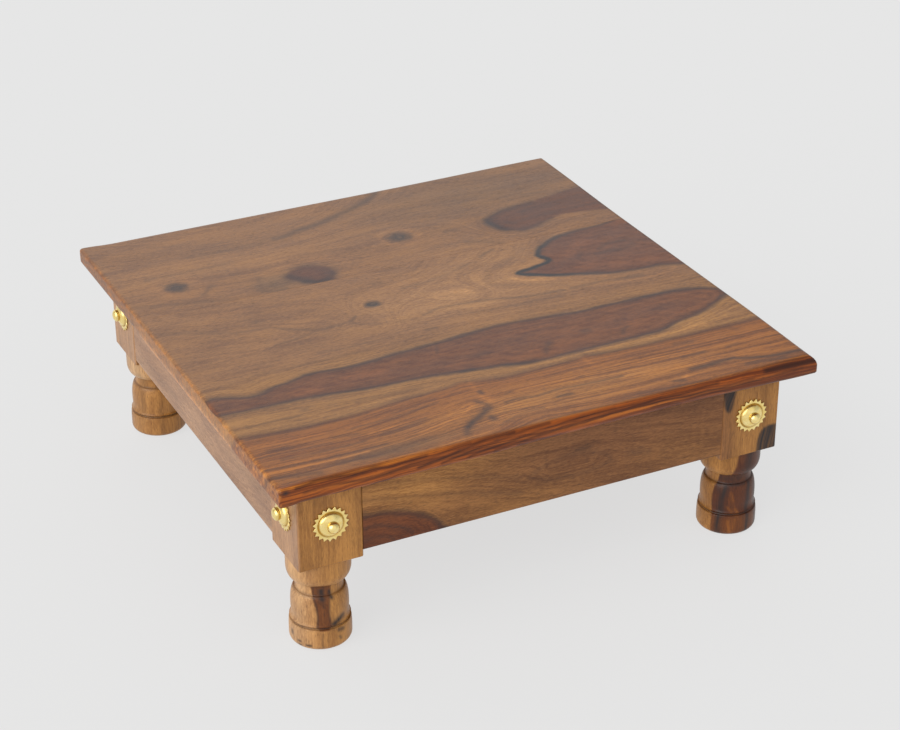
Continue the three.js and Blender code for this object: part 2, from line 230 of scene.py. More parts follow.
FRONT_GROWTH = [
    (-64, [(-210, -194), (-60, -191), (0, -189), (60, -190), (210, -195)]),
    (-53, [(-210, -181), (-160, -183), (-100, -184), (-60, -181), (-40, -178), (-26, -172.5),
           (-5, -171.5), (12, -174), (60, -178), (144, -181), (210, -186)]),
    (-42, [(-210, -172), (-160, -174), (-120, -174), (-90, -171), (-65, -167), (-33, -165), (-8, -167),
           (60, -168), (106, -168), (128, -168), (148, -171), (172, -176), (210, -178)]),
    (-31, [(-210, -163), (-140, -166), (-90, -164), (-65, -158), (-30, -156), (-20, -153.5), (18, -153),
           (65, -157), (110, -158), (210, -159)]),
    (-22, [(-210, -154), (-140, -156), (-100, -155), (-60, -149), (-38, -144), (0, -144), (40, -145),
           (120, -147), (210, -147)]),
    (-11, [(-210, -142), (-140, -144), (-120, -143), (-90, -138.5), (-60, -134), (0, -134), (60, -134),
           (120, -135), (210, -136)]),
    (0, ZONE_LINE),
    (8, [(-210, -104), (-180, -108), (-145, -110), (-105, -110), (-60, -112), (0, -117), (60, -118.5),
         (120, -118), (160, -111), (210, -103)]),
    (15, LENS[19:]),
    (15, LENS[:20]),
    (27, [(-210, -80), (-140, -80), (-100, -80), (-40, -83), (20, -86), (80, -88), (140, -82), (176, -80)]),
    (5, [(-210, -53), (-120, -50), (-60, -47), (0, -44), (60, -47), (120, -51), (210, -54)]),
    (-2, [(-210, -38), (-120, -40), (-60, -38), (-20, -32), (30, -33), (60, -36), (110, -41), (150, -43),
          (210, -42)]),
    (2, [(-25, -22), (-5, -17), (20, -16.5), (58, -25), (85, -29), (120, -33), (150, -37), (172, -36),
         (210, -33)]),
    (9, [(210, -32), (150, -30), (120, -25), (95, -15), (75, -5), (64, 3), (62, 10), (70, 19), (84, 29),
         (98, 43), (110, 56), (114, 64)]),
    (15, WING[13:] + WING[:13]),
    (4, [(95, -22), (75, -13), (58, -5), (49, 2), (48, 10), (55, 20), (75, 32), (90, 46), (100, 62)]),
    (-5, [(30, -12), (8, -6), (0, 6), (2, 16), (18, 25), (38, 36), (55, 46), (70, 62)]),
    (-18, [(-178, 33), (-152, 19), (-120, 11), (-105, 4), (-90, -6.5), (-80, -8.5), (-92, -10),
           (-105, -12), (-130, -17), (-160, -22), (-195, -24)]),
    (-12, [(-195, 6), (-160, 3), (-130, -1)]),
    (-23, [(-210, 46), (-150, 38), (-110, 26), (-78, 12), (-66, 0), (-60, -11), (-45, -19), (-70, -24),
           (-120, -29)]),
    (-21, [(-160, 58), (-100, 48), (-50, 40), (-12, 38), (12, 44), (30, 62)]),
]
FRONT_INK = [
    (0.35, 2.4, ZONE_LINE),
    (0.45, 2.2, [(-185, -124), (-160, -126.5), (-130, -127.5), (-105, -126)]),
    (0.40, 2.0, [(-26, -121.5), (0, -124.5), (40, -123.5)]),
    (0.55, 1.9, [(58, -122), (90, -125), (140, -126), (190, -126)]),
    (0.60, 2.0, [(-38, -145), (-33, -151)]),
    (0.75, 3.2, [(-34, -155.5), (-40, -160), (-48, -165)]),
    (0.75, 1.8, [(-37, -155.5), (-33, -156.5)]),
    (0.80, 2.6, [(-50, -166), (-57, -172)]),
    (0.55, 2.2, [(-57, -172), (-61, -179)]),
    (0.62, 2.6, [(-38, -166), (-37.5, -169)]),
    (0.60, 1.4, [(-22, -154), (-8, -153.5), (0, -155), (16, -153.5), (34, -155), (62, -156.5)]),
    (0.35, 2.2, [(-12, -154), (0, -155)]),
    (0.62, 2.0, [(12, -162), (21, -163)]),
    (0.40, 0.8, [(-33, -166), (-22, -165), (-8, -168)]),
    (0.45, 0.8, [(-38, -179), (-28, -174), (-15, -171), (-3, -171)]),
    (0.55, 0.9, [(-17, -144.5), (-12, -143)]),
    (0.50, 0.9, [(36, -145), (40, -145)]),
    (0.75, 2.2, [(107, -168), (125, -168), (140, -167)]),
    (0.75, 2.0, [(140, -168), (150, -172), (162, -175), (190, -178)]),
    (0.50, 1.8, [(142, -178), (153, -179), (170, -181)]),
    (0.65, 1.5, [(88, -177.5), (95, -179)]),
    (0.45, 1.1, [(58, -181), (80, -183.5), (110, -186)]),
    (0.55, 1.2, [(110, -151.5), (128, -151.5)]),
    (0.40, 1.4, [(144, -152), (154, -151)]),
    (0.35, 2.4, [(116, -133), (128, -135)]),
    (0.35, 2.6, [(160, -128), (164, -132)]),
    (0.50, 2.8, [(-194, -173.5), (-176, -178), (-160, -181.5)]),
    (0.35, 1.8, [(-147, -177), (-130, -176)]),
    (0.28, 3.6, [(-130, -178), (-108, -181), (-85, -183)]),
    (0.35, 2.4, [(-178, -144), (-166, -146)]),
    (0.35, 2.0, [(-136, -146), (-122, -149)]),
    (0.45, 1.0, [(-122, -141), (-95, -140), (-60, -135)]),
    (0.42, 1.0, [(-92, -135), (-78, -133), (-60, -130)]),
    (0.45, 1.1, [(-194, -149.5), (-160, -151), (-140, -152)]),
    (0.45, 1.1, [(-175, -157), (-150, -159), (-120, -159)]),
    (0.45, 1.1, [(-194, -165), (-150, -168), (-110, -168)]),
    (0.32, 2.2, [(-108, -156), (-90, -154), (-76, -150)]),
    (0.40, 1.2, [(-150, -189), (-60, -188), (20, -185), (90, -188), (190, -190)]),
    (0.50, 2.4, [(34, -106), (38, -99), (43, -94)]),
    (0.50, 1.8, [(93, -105), (96, -99), (101, -97)]),
    (0.40, 1.4, [(-31, -74), (-27, -66)]),
    (0.30, 2.8, [(-12, -89), (0, -89)]),
    (0.35, 3.4, [(71, -90), (74, -90)]),
    (0.50, 2.2, [(-28, -105), (-20, -105)]),
    (0.40, 1.6, [(-122, -63), (-115, -65)]),
    (0.50, 3.0, [(2, -110), (12, -112), (22, -112)]),
    (0.30, 1.6, [(-180, -111), (-145, -111.5)]),
    (0.25, 1.6, [(-105, -111), (-60, -112)]),
    (0.35, 2.4, [(-140, -106), (-137, -106)]),
    (0.70, 1.7, [(-30, -134), (-29.5, -137)]),
    (0.40, 1.7, [(-14, -19.5), (-4, -15.5), (8, -15.5), (24, -17), (40, -20), (58, -25), (90, -29)]),
    (0.26, 1.6, [(16, -31), (50, -34), (85, -36)]),
    (0.35, 2.2, [(96, -28), (125, -29), (150, -32)]),
    (0.42, 1.6, [(62, 46), (69, 50), (76, 53)]),
    (0.22, 3.4, [(-182, 33), (-168, 27), (-152, 19), (-145, 15)]),
    (0.28, 1.5, [(-145, 14), (-130, 11), (-116, 10), (-107, 4)]),
    (0.42, 1.6, [(-108, 4), (-100, -1), (-92, -5)]),
    (0.34, 2.0, [(-92, -6), (-84, -9), (-72, -8)]),
    (0.22, 1.6, [(-72, -8), (-64, -7)]),
    (0.45, 1.3, [(-64, -7), (-57, -1)]),
    (0.32, 1.4, [(-121, -16), (-108, -14), (-98, -12)]),
    (0.20, 1.2, [(-98, -12), (-90, -9)]),
    (0.26, 1.2, [(-63, -9), (-57, -14), (-48, -17)]),
    (0.15, 2.0, [(-48, -18), (-20, -23)]),
    (0.18, 2.2, [(55, 20), (48, 10), (50, 0), (60, -5), (75, -12), (95, -22)]),
    (0.22, 1.8, [(-10, 24), (15, 27), (35, 34), (50, 39)]),
    (0.16, 2.0, [(55, 22), (75, 30), (95, 43)]),
    (0.22, 1.4, [(-100, -39.5), (-50, -40.5)]),
    (0.20, 1.8, [(-150, -49.5), (-70, -50.5)]),
    (0.35, 1.6, [(-23, -40.5), (-15, -40.5)]),
    (0.30, 3.0, [(-121, 21), (-119, 21)]),
    (0.16, 4.0, [(-24, 40), (-20, 40)]),
    (0.35, 1.8, [(145, 20), (155, 25), (168, 25)]),
    (0.30, 2.4, [(140, 13), (160, 13), (172, 16)]),
    (0.30, 3.0, [(130, 20), (124, 14)]),
]
FRONT_GLEAM = [
    (0.45, 2.2, [(66, 4), (76, -3), (90, -9), (105, -14), (128, -21)]),
    (0.38, 1.8, [(120, -33), (140, -36), (160, -36.5), (172, -34.5), (178, -31)]),
    (0.25, 3.0, [(110, -31), (125, -33)]),
    (0.30, 3.6, [(-135, -85), (-120, -85)]),
    (0.30, 4.2, [(-105, -81), (-90, -80), (-75, -82)]),
    (0.20, 3.0, [(-176, -78), (-168, -78)]),
    (0.50, 1.2, [(25, -99), (30, -99)]),
    (0.50, 1.2, [(140, -94), (147, -94)]),
    (0.35, 1.2, [(103, -91), (110, -91)]),
    (0.22, 2.6, [(-140, -116), (-60, -116.5), (0, -119)]),
    (0.30, 2.6, [(10, -117), (60, -117), (110, -118), (150, -117)]),
    (0.35, 1.4, [(-30, -119), (-31, -126), (-30, -132)]),
    (0.60, 3.4, [(-31, -141), (-29, -146)]),
    (0.28, 2.2, [(50, -121), (52, -128), (53, -136)]),
    (0.35, 1.4, [(-187, -135), (-160, -137.5), (-140, -138)]),
    (0.38, 1.2, [(-125, -139), (-100, -137), (-70, -132), (-50, -129)]),
    (0.38, 1.4, [(-194, -148), (-165, -150), (-140, -152)]),
    (0.45, 1.4, [(-115, -152), (-95, -150), (-70, -147), (-52, -143)]),
    (0.45, 1.2, [(-194, -153), (-150, -154), (-125, -156)]),
    (0.50, 1.5, [(-86, -165), (-66, -160), (-54, -156), (-46, -151), (-40, -146)]),
    (0.40, 1.2, [(-60, -152), (-50, -148), (-43, -145)]),
    (0.40, 1.0, [(-194, -162), (-150, -164), (-130, -165)]),
    (0.50, 1.7, [(-194, -168), (-150, -171), (-125, -171)]),
    (0.45, 1.5, [(-54, -172), (-44, -172), (-38, -175), (-34, -178)]),
    (0.40, 1.3, [(-35, -170), (-28, -167), (-20, -166)]),
    (0.28, 3.4, [(-5, -143), (5, -143), (20, -145), (40, -143)]),
    (0.42, 1.3, [(76, -145), (95, -144.5), (110, -147), (182, -146)]),
    (0.32, 1.6, [(60, -160), (110, -162), (145, -163), (180, -164)]),
    (0.35, 1.2, [(-130, -183), (-90, -183), (-60, -184), (-30, -180)]),
    (0.30, 1.2, [(-190, -186), (-130, -186.5), (-80, -186)]),
    (0.45, 1.4, [(97, -176), (100, -174)]),
    (0.25, 4.0, [(131, 34), (142, 35)]),
    (0.30, 2.6, [(-145, 42), (-122, 42)]),
    (0.22, 3.0, [(20, 3), (28, -1)]),
]

# Dark lines on the front board's front edge, with points as (x, z)
FACE_INK = [
    (0.50, 1.1, [(-180, 135.8), (-160, 136), (-142, 135), (-128, 135.7), (-117, 134.5), (-94, 135)]),
    (0.42, 0.9, [(-175, 131.8), (-157, 132.4), (-140, 130.9), (-124, 130.7), (-107, 132), (-84, 134.6),
                 (-63, 136)]),
    (0.55, 1.0, [(-100, 129), (-84, 131.5), (-68, 134), (-53, 135.9), (-33, 136.4)]),
    (0.50, 1.0, [(-84, 128.5), (-68, 131), (-53, 133), (-33, 135.2), (-8, 136)]),
    (0.50, 0.9, [(-66, 128), (-45, 130.6), (-13, 133.5), (13, 135), (38, 135.3)]),
    (0.45, 0.9, [(-48, 127.6), (-28, 129.3), (-8, 131), (13, 132.3), (38, 133), (64, 132.8), (102, 131.9),
                 (140, 131.6)]),
    (0.45, 0.9, [(25, 135.2), (60, 134.6), (90, 134.9), (114, 135.3)]),
    (0.40, 0.8, [(64, 130), (110, 129.8), (150, 130.6), (178, 130.8)]),
    (0.60, 1.4, [(150, 135.2), (170, 134.6), (188, 134)]),
]

# Figure of the back board, in the same way
PATCH = [
    (93, 98), (96, 103), (110, 111), (130, 115), (155, 119), (204, 125), (204, 79), (175, 81.5),
    (160, 84), (150, 85.5), (140, 82.5), (133, 79), (125, 75), (115, 73), (108, 74.5), (100, 79),
    (96, 84),
]
BIG_KNOT = [
    (-76, 76), (-73, 82), (-66, 86.5), (-58, 88), (-50, 86), (-44, 81.5), (-41, 75), (-41.5, 67),
    (-46, 59), (-54, 55), (-62, 58.5), (-67, 65), (-73, 70),
]
BACK_GROWTH = [
    (0, [(-210, 46), (-110, 46), (-80, 50), (-30, 48), (50, 50), (210, 50)]),
    (20, [(-210, 84), (-180, 78), (-150, 69), (-120, 60)]),
    (18, [(-25, 70), (30, 74), (60, 76), (88, 60)]),
    (40, [(-210, 102), (-175, 104), (-150, 107), (-120, 101), (-90, 97), (-60, 98), (-20, 92), (0, 90)]),
    (46, [(0, 114), (24, 116), (50, 112), (70, 104), (80, 88), (92, 72), (118, 66), (150, 78), (210, 74)]),
    (52, PATCH[12:] + PATCH[:6]),
    (64, [(115, 92), (140, 97), (170, 100), (210, 102)]),
    (52, [(-210, 117), (-163, 116.5), (-100, 117), (-40, 119), (0, 124), (50, 126), (90, 122), (130, 128),
          (210, 136)]),
    (66, [(-210, 133), (-140, 130), (-80, 128), (-40, 132), (0, 142), (50, 152), (120, 150), (210, 152)]),
    (80, [(-210, 160), (-170, 150), (-140, 142), (-118, 139), (-80, 138), (-50, 142), (-15, 152.5),
          (10, 163), (30, 174), (52, 192)]),
    (96, [(-200, 190), (-150, 170), (-110, 160), (-60, 160), (-20, 172), (4, 194)]),
    (72, [(76, 188), (110, 174), (160, 172), (210, 174)]),
]
BACK_INK = [
    (0.18, 4.0, [(-125, 139), (-100, 138), (-80, 138), (-55, 141)]),
    (0.50, 3.4, [(-58, 141), (-50, 142), (-35, 147.5), (-15, 152.5), (0, 160), (20, 168), (38, 180),
                 (48, 192)]),
    (0.22, 3.4, [(-190, 80), (-150, 69), (-120, 60)]),
    (0.34, 2.4, [(-137, 77), (-132, 83), (-127, 88)]),
    (0.18, 2.4, [(-165, 117), (-100, 117)]),
    (0.30, 2.0, [(-166, 115), (-160, 117)]),
    (0.20, 3.0, [(-98, 66), (-97, 74), (-92, 84)]),
    (0.30, 2.8, [(59, 96), (67, 97)]),
    (0.28, 4.0, [(66, 73), (76, 68), (86, 61)]),
    (0.25, 1.4, [(140, 131), (160, 129)]),
    (0.45, 3.4, [(-73, 78), (-68, 72)]),
    (0.70, 4.2, [(-66, 65), (-58, 60.5), (-49, 61.5)]),
    (0.40, 2.6, [(-48, 60), (-43, 68)]),
    (0.30, 2.4, [(-100, 66), (-92, 60), (-82, 60)]),
    (0.45, 3.6, [(96, 100), (96, 90), (101, 80)]),
    (0.30, 3.4, [(104, 108), (118, 112), (140, 115)]),
    (0.35, 3.2, [(108, 90), (112, 87)]),
    (0.25, 3.0, [(110, 74), (125, 76), (140, 82)]),
    (0.22, 2.4, [(125, 104), (150, 108), (180, 112)]),
    (0.20, 2.4, [(118, 90), (150, 93), (185, 92)]),
]
BACK_GLEAM = [
    (0.18, 4.0, [(-88, 88), (-74, 93), (-56, 96), (-38, 93), (-29, 82)]),
    (0.28, 2.6, [(10, 103), (14, 93), (24, 89), (35, 93), (39, 103), (35, 113), (24, 117), (14, 113),
                 (10, 103)]),
    (0.60, 1.2, [(25, 101), (25, 106)]),
    (0.20, 4.0, [(-165, 104), (-158, 84), (-145, 81), (-134, 92), (-140, 106)]),
    (0.16, 3.0, [(-190, 130), (-120, 131), (-50, 131), (0, 138)]),
]

# Knots as (centre, half sizes, how far the growth bends round them, darkness), how fast the level climbs
# from ring to ring, and how soon the bending fades
KNOT_CLIMB = 4.5
KNOT_FADE = 1.6
FRONT_KNOTS = [
    ((-38.5, 10.8), (6.0, 5.4), 13, 0.85),
]
BACK_KNOTS = [
    ((-150, 95.5), (8.4, 8.0), 18, 0.78),
    ((24.5, 103), (9.0, 8.4), 18, 0.80),
]


def bend_round_knots(level, ink, knots, x, y):
    """Turns the growth into rings round each knot, a dish that fades away, and darkens its soft heart."""
    for (cx, cy), (half_x, half_y), reach, darkness in knots:
        ring = np.hypot((x - cx) / half_x, (y - cy) / half_y)
        hold = np.exp(-((ring * (half_x + half_y) / 2 / reach) ** 2) * KNOT_FADE)
        nearest = np.argmin(ring)
        level = level + (level.flat[nearest] + KNOT_CLIMB * ring - level) * hold
        heart = darkness * (1 - smooth_step(ring + 0.12 * ripple(x, y, 11, 5), 0.45, 1.40))
        ink = np.maximum(ink, heart)
    return level, ink


def zone_side(x, y):
    """How far a point lies behind the front zone's dark line, in millimetres along y."""
    line = curve_through(ZONE_LINE)
    return y - np.interp(x, line[:, 0], line[:, 1])


def wandering(x, y, amount, seed):
    """The drawing's own unsteadiness: points pushed about by long and short ripples."""
    across = amount * (ripple(x / 3, y, 14, seed) + 0.5 * ripple(x / 3, y, 5, seed + 1))
    along = 1.5 * amount * ripple(x, y, 16, seed + 2)
    return x + along, y + across


# How far the growth leans sideways for each millimetre of depth
BOARD_LEAN = 0.8


def front_board_wood(points, top):
    """Tawny wood with two dark hearts, a russet zone in front and an ember front edge with singed lines.

    Growth leans back through the thickness, so the drawing is read at y less 0.8 of the depth.
    """
    depth = top - points[..., 2]
    x0, z = points[..., 0], points[..., 2]
    x, y = wandering(x0, points[..., 1] - BOARD_LEAN * depth, 0.3, 11)
    level = growth_surface(FRONT_GROWTH, x, y)
    level, ink = bend_round_knots(level, strokes(FRONT_INK, x, y), FRONT_KNOTS, x, y)
    rim = np.maximum(depth_inside(LENS, x, y), depth_inside(WING, x, y))
    side = zone_side(x, y)
    low = 1 - smooth_step(side, -2, 2)
    ashy = blot((-105, -176), (48, 7), x, y)
    inside = smooth_step(rim, 0, 4)
    mottle = ripple(x / 2, y, 9, 17)
    wing_tip = smooth_step(rim, 2, 10) * blot((170, 20), (50, 22), x, y)
    tone = painted(
        TAWNY,
        (HONEY, 0.12),
        (HONEY, 0.95 * blot((22, -2), (80, 30), x, y)),
        (HONEY, 0.35 * blot((60, 40), (60, 14), x, y)),
        (GOLDEN, 0.7 * (1 - smooth_step(y, -66, -40))),
        (OCHRE, 0.35 * blot((170, -112), (60, 12), x, y)),
        (OCHRE, 0.30 * blot((110, -88), (70, 20), x, y)),
        (RUSSET, low),
        (CHESTNUT, 0.35 * low * blot((-160, -150), (110, 30), x, y)),
        (OCHRE, 0.35 * low * blot((20, -160), (120, 18), x, y)),
        (CHESTNUT, 0.36 * low * smooth_step(side, -18, -4)),
        (CHESTNUT, 0.25 * low * smooth_step(x, 60, 190)),
        (GREYED, 0.75 * ashy),
        (GREYED, 0.6 * wing_tip),
        (HONEY, 0.25 * smooth_step(rim, 3, 9) * smooth_step(x, 90, 130) * (y > -40)),
        # faint painted rosy sheen over the wing tip
        (ROSY_SHEEN, 0.15 * wing_tip),
        (CHESTNUT, 0.45 * blot((94, 3), (22, 12), x, y) * smooth_step(rim, -1, 3)),
        (CHESTNUT, 0.42 * inside * smooth_step(mottle, 0.1, 0.8)),
        (OCHRE, 0.22 * inside * smooth_step(-mottle, 0.2, 0.9)),
    )
    edge = 1 - smooth_step(points[..., 1], -187.5, -185)
    face = smooth_step(-points[..., 1], 185.5, 188.2)
    sheen = np.exp(-(((depth - 0.6) / 0.8) ** 2)) * edge * (1 - smooth_step(x0, -120, -50))
    singed = np.minimum(1.6 * strokes(FACE_INK, *wandering(x0, z, 0.25, 31)), 0.9)
    tone = painted(
        tone,
        (EMBER, face),
        (AMBER, 0.7 * sheen),
        (BURNT, face * (0.10 + 0.25 * smooth_step(x0, -130, -60))),
        (BURNT, face * 0.45 * smooth_step(x0, 130, 185)),
        (UMBER, 0.4 * face * smooth_step(depth, 8, 11)),
        (AMBER, 0.35 * face * blot((60, 131.5), (110, 1.6), x0, z)),
        (AMBER, 0.25 * face * blot((-135, 131), (50, 1.6), x0, z)),
        (SINGED, singed * edge * smooth_step(depth, 0.1, 0.6)),
    )
    black_knot = edge * blot((-186.5, 134.6), (2.6, 1.5), x0, z)
    lines = 0.42 + 0.4 * (1 - smooth_step(y, -64, -36)) + 0.62 * low - 0.6 * ashy + 0.9 * face
    outline = 0.58 + 0.60 * blot((84, 8), (38, 28), x, y) + 0.30 * blot((110, 36), (24, 26), x, y)
    return {
        "level": level, "tone": tone, "rim": rim, "outline": outline,
        "ink": np.maximum(ink * (1 - face), black_knot),
        "gleam": strokes(FRONT_GLEAM, x, y) * (1 - face),
        "lines": lines - 0.22 * smooth_step(rim, -1, 2),
        "flecked": 1 - 0.75 * face,
    }


def back_board_wood(points, top):
    """Tawny wood, greyed behind, with a dark patch and a big knot; it leans the other way."""
    depth = top - points[..., 2]
    x, y = wandering(points[..., 0], points[..., 1] + BOARD_LEAN * depth, 0.3, 23)
    level = growth_surface(BACK_GROWTH, x, y)
    level, ink = bend_round_knots(level, strokes(BACK_INK, x, y), BACK_KNOTS, x, y)
    knot = 0.45 * depth_inside(BIG_KNOT, x, y)
    rim = np.maximum(0.6 * depth_inside(PATCH, x, y), knot)
    tone = painted(
        TAWNY,
        (GREYED, 0.75 * blot((110, 150), (110, 50), x, y)),
        (GREYED, 0.95 * blot((-86, 71), (14, 14), x, y)),
        (GREYED, 0.15 * blot((-120, 150), (90, 30), x, y)),
        (HONEY, 0.25 * blot((-100, 118), (110, 20), x, y)),
        (HONEY, 0.2 * blot((40, 66), (50, 12), x, y)),
        (HEARTWOOD, 0.15 * smooth_step(knot, 0, 5)),
        (HEARTWOOD, 0.35 * blot((98, 92), (12, 14), x, y)),
        (GREYED, 0.4 * smooth_step(rim, 4, 14) * blot((175, 100), (45, 24), x, y)),
    )
    outline = 0.15 + 0.45 * blot((92, 92), (22, 24), x, y) + 0.30 * blot((-60, 75), (26, 20), x, y)
    return {
        "level": level, "tone": tone, "rim": rim, "ink": ink, "gleam": strokes(BACK_GLEAM, x, y),
        "lines": 0.40, "outline": outline,
    }


# Meshes


def wood_fields(
    grain, tone, level, lines=0.5, outline=0.0, rim=-RIM_REACH, ink=0.0, gleam=0.0, flecked=1.0
):
    """The four fields that the wood finish reads, single values spread over the whole grid."""
    def spread(*values):
        return np.stack([np.broadcast_to(value, grain.shape[:-1]) for value in values], -1)

    return {
        "grain": grain,
        "growth": spread(level, lines, outline),
        "marks": spread(rim, ink, gleam),
        "tone": np.concatenate([tone, spread(flecked)], -1),
    }


def closed_mesh(name, grid, fields, loop_rows=False):
    """Quads between neighbours of a grid of points in millimetres, its columns closed into rings.

    Where loop_rows says so, the rows close too. Points that coincide are welded, so seams and poles close;
    faces are turned outwards by the sign of the volume that they enclose.
    """
    rows, columns = grid.shape[:2]
    index = np.arange(rows * columns).reshape(rows, columns)
    if loop_rows:
        index = np.vstack([index, index[:1]])
    index = np.hstack([index, index[:, :1]])
    quads = np.stack([index[:-1, :-1], index[1:, :-1], index[1:, 1:], index[:-1, 1:]], -1).reshape(-1, 4)
    points = grid.reshape(-1, 3)
    _, first, same = np.unique(np.round(points * WELD_PARTS), axis=0, return_index=True, return_inverse=True)
    points = points[first]
    quads = same.reshape(-1)[quads]
    a, b, c, d = (points[quads[:, k]] for k in range(4))
    volume = (np.cross(a, b) * c).sum() + (np.cross(a, c) * d).sum()
    if volume < 0:
        quads = quads[:, ::-1]
    repeats = quads == np.roll(quads, 1, axis=1)
    whole = quads[~repeats.any(1)]
    folded = quads[repeats.sum(1) == 1]
    corners = folded[~repeats[repeats.sum(1) == 1]].reshape(-1, 3)
    mesh = bpy.data.meshes.new(name)
    mesh.from_pydata(points * MM, [], whole.tolist() + corners.tolist())
    for field, values in fields.items():
        values = values.reshape(rows * columns, -1)[first].astype(np.float32)
        kind, key = ("FLOAT_COLOR", "color") if field == "tone" else ("FLOAT_VECTOR", "vector")
        mesh.attributes.new(field, kind, "POINT").data.foreach_set(key, values.ravel())
    mesh.shade_smooth()
    mesh.set_sharp_from_angle(angle=SHARP_ANGLE)
    return mesh


def into_scene(name, data):
    """A new object in the scene for a mesh, a light or a camera."""
    thing = bpy.data.objects.new(name, data)
    bpy.context.scene.collection.objects.link(thing)
    return thing


def dress(node, ending, grid, fields, material, loop_rows=False):
    """Makes a piece from its grid, riding on the one rigid body, in place of its CAD node."""
    piece = into_scene(node + ending, closed_mesh(node + ending, grid, fields, loop_rows))
    piece.data.materials.append(material)
    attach(piece, "root")
    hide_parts(node)


def turned_about_z(points, quarter_turns):
    """Points turned about the table's middle by quarter turns."""
    angle = quarter_turns * QUARTER
    c, s = round(math.cos(angle)), round(math.sin(angle))
    x, y = points[..., 0], points[..., 1]
    return np.stack([c * x - s * y, s * x + c * y, points[..., 2]], -1)


# Wood finish


class Finish:
    """A procedural material under construction, with short calls for the nodes that it needs."""

    def __init__(self, name, sockets):
        self.material = bpy.data.materials.new(name)
        self.material.use_nodes = True
        self.tree = self.material.node_tree
        self.shader = self.tree.nodes["Principled BSDF"]
        for socket, value in sockets.items():
            self.give(socket, value)

    def feed(self, socket, value):
        """Links a node's output to a socket, or sets the socket to a plain value."""
        if isinstance(value, bpy.types.NodeSocket):
            self.tree.links.new(value, socket)
        else:
            socket.default_value = value

    def give(self, socket, value):
        """Feeds a socket of the shader itself."""
        self.feed(self.shader.inputs[socket], value)

    def added(self, kind, inputs, **settings):
        """A new node with its settings made and its inputs fed, each by its name or number."""
        node = self.tree.nodes.new(kind)
        for setting, value in settings.items():
            setattr(node, setting, value)
        for socket, value in inputs.items():
            self.feed(node.inputs[socket], value)
        return node

    def attribute(self, name, output="Vector"):
        return self.added("ShaderNodeAttribute", {}, attribute_name=name).outputs[output]

    def coordinates(self):
        return self.added("ShaderNodeTexCoord", {}).outputs["Object"]

    def split(self, vector):
        return self.added("ShaderNodeSeparateXYZ", {0: vector}).outputs

    def joined(self, x, y, z):
        return self.added("ShaderNodeCombineXYZ", {0: x, 1: y, 2: z}).outputs[0]

    def noise(self, place, scale=1.0, detail=3.0, roughness=0.55):
        inputs = {"Vector": place, "Scale": scale, "Detail": detail, "Roughness": roughness}
        return self.added("ShaderNodeTexNoise", inputs).outputs["Fac"]

    def streaks(self, place, factors, **settings):
        """Noise read at the place times a factor along each axis."""
        scaled = self.added("ShaderNodeVectorMath", {0: place, 1: factors}, operation="MULTIPLY")
        return self.noise(scaled.outputs[0], **settings)

    def calc(self, operation, a, b=0.0, c=0.0):
        """One calculation with outputs or numbers, such as MULTIPLY_ADD for a times b plus c."""
        return self.added("ShaderNodeMath", {0: a, 1: b, 2: c}, operation=operation).outputs[0]

    def ramp(self, value, low, high, start=0.0, end=1.0):
        """Even S from start to end while the value goes from low to high."""
        inputs = {"Value": value, "From Min": low, "From Max": high, "To Min": start, "To Max": end}
        return self.added("ShaderNodeMapRange", inputs, interpolation_type="SMOOTHSTEP").outputs["Result"]

    def mixed(self, amount, a, b, blend="MIX"):
        """Colour a, taken over by colour b by an amount."""
        inputs = {0: amount}
        for socket, colour in ((6, a), (7, b)):
            inputs[socket] = colour if isinstance(colour, bpy.types.NodeSocket) else (*colour, 1)
        return self.added("ShaderNodeMix", inputs, data_type="RGBA", blend_type=blend).outputs[2]

    def tinted(self, colour, tint):
        return self.mixed(1.0, colour, tint, "MULTIPLY")

    def swings(self, *noises):
        """Sum of noises, each one swung about nothing by its weight."""
        total = 0.0
        for noise, weight in noises:
            total = self.calc("MULTIPLY_ADD", self.calc("SUBTRACT", noise, 0.5), weight, total)
        return total

    def bumps(self, height, strength, depth):
        inputs = {"Height": height, "Strength": strength, "Distance": depth}
        self.give("Normal", self.added("ShaderNodeBump", inputs).outputs[0])


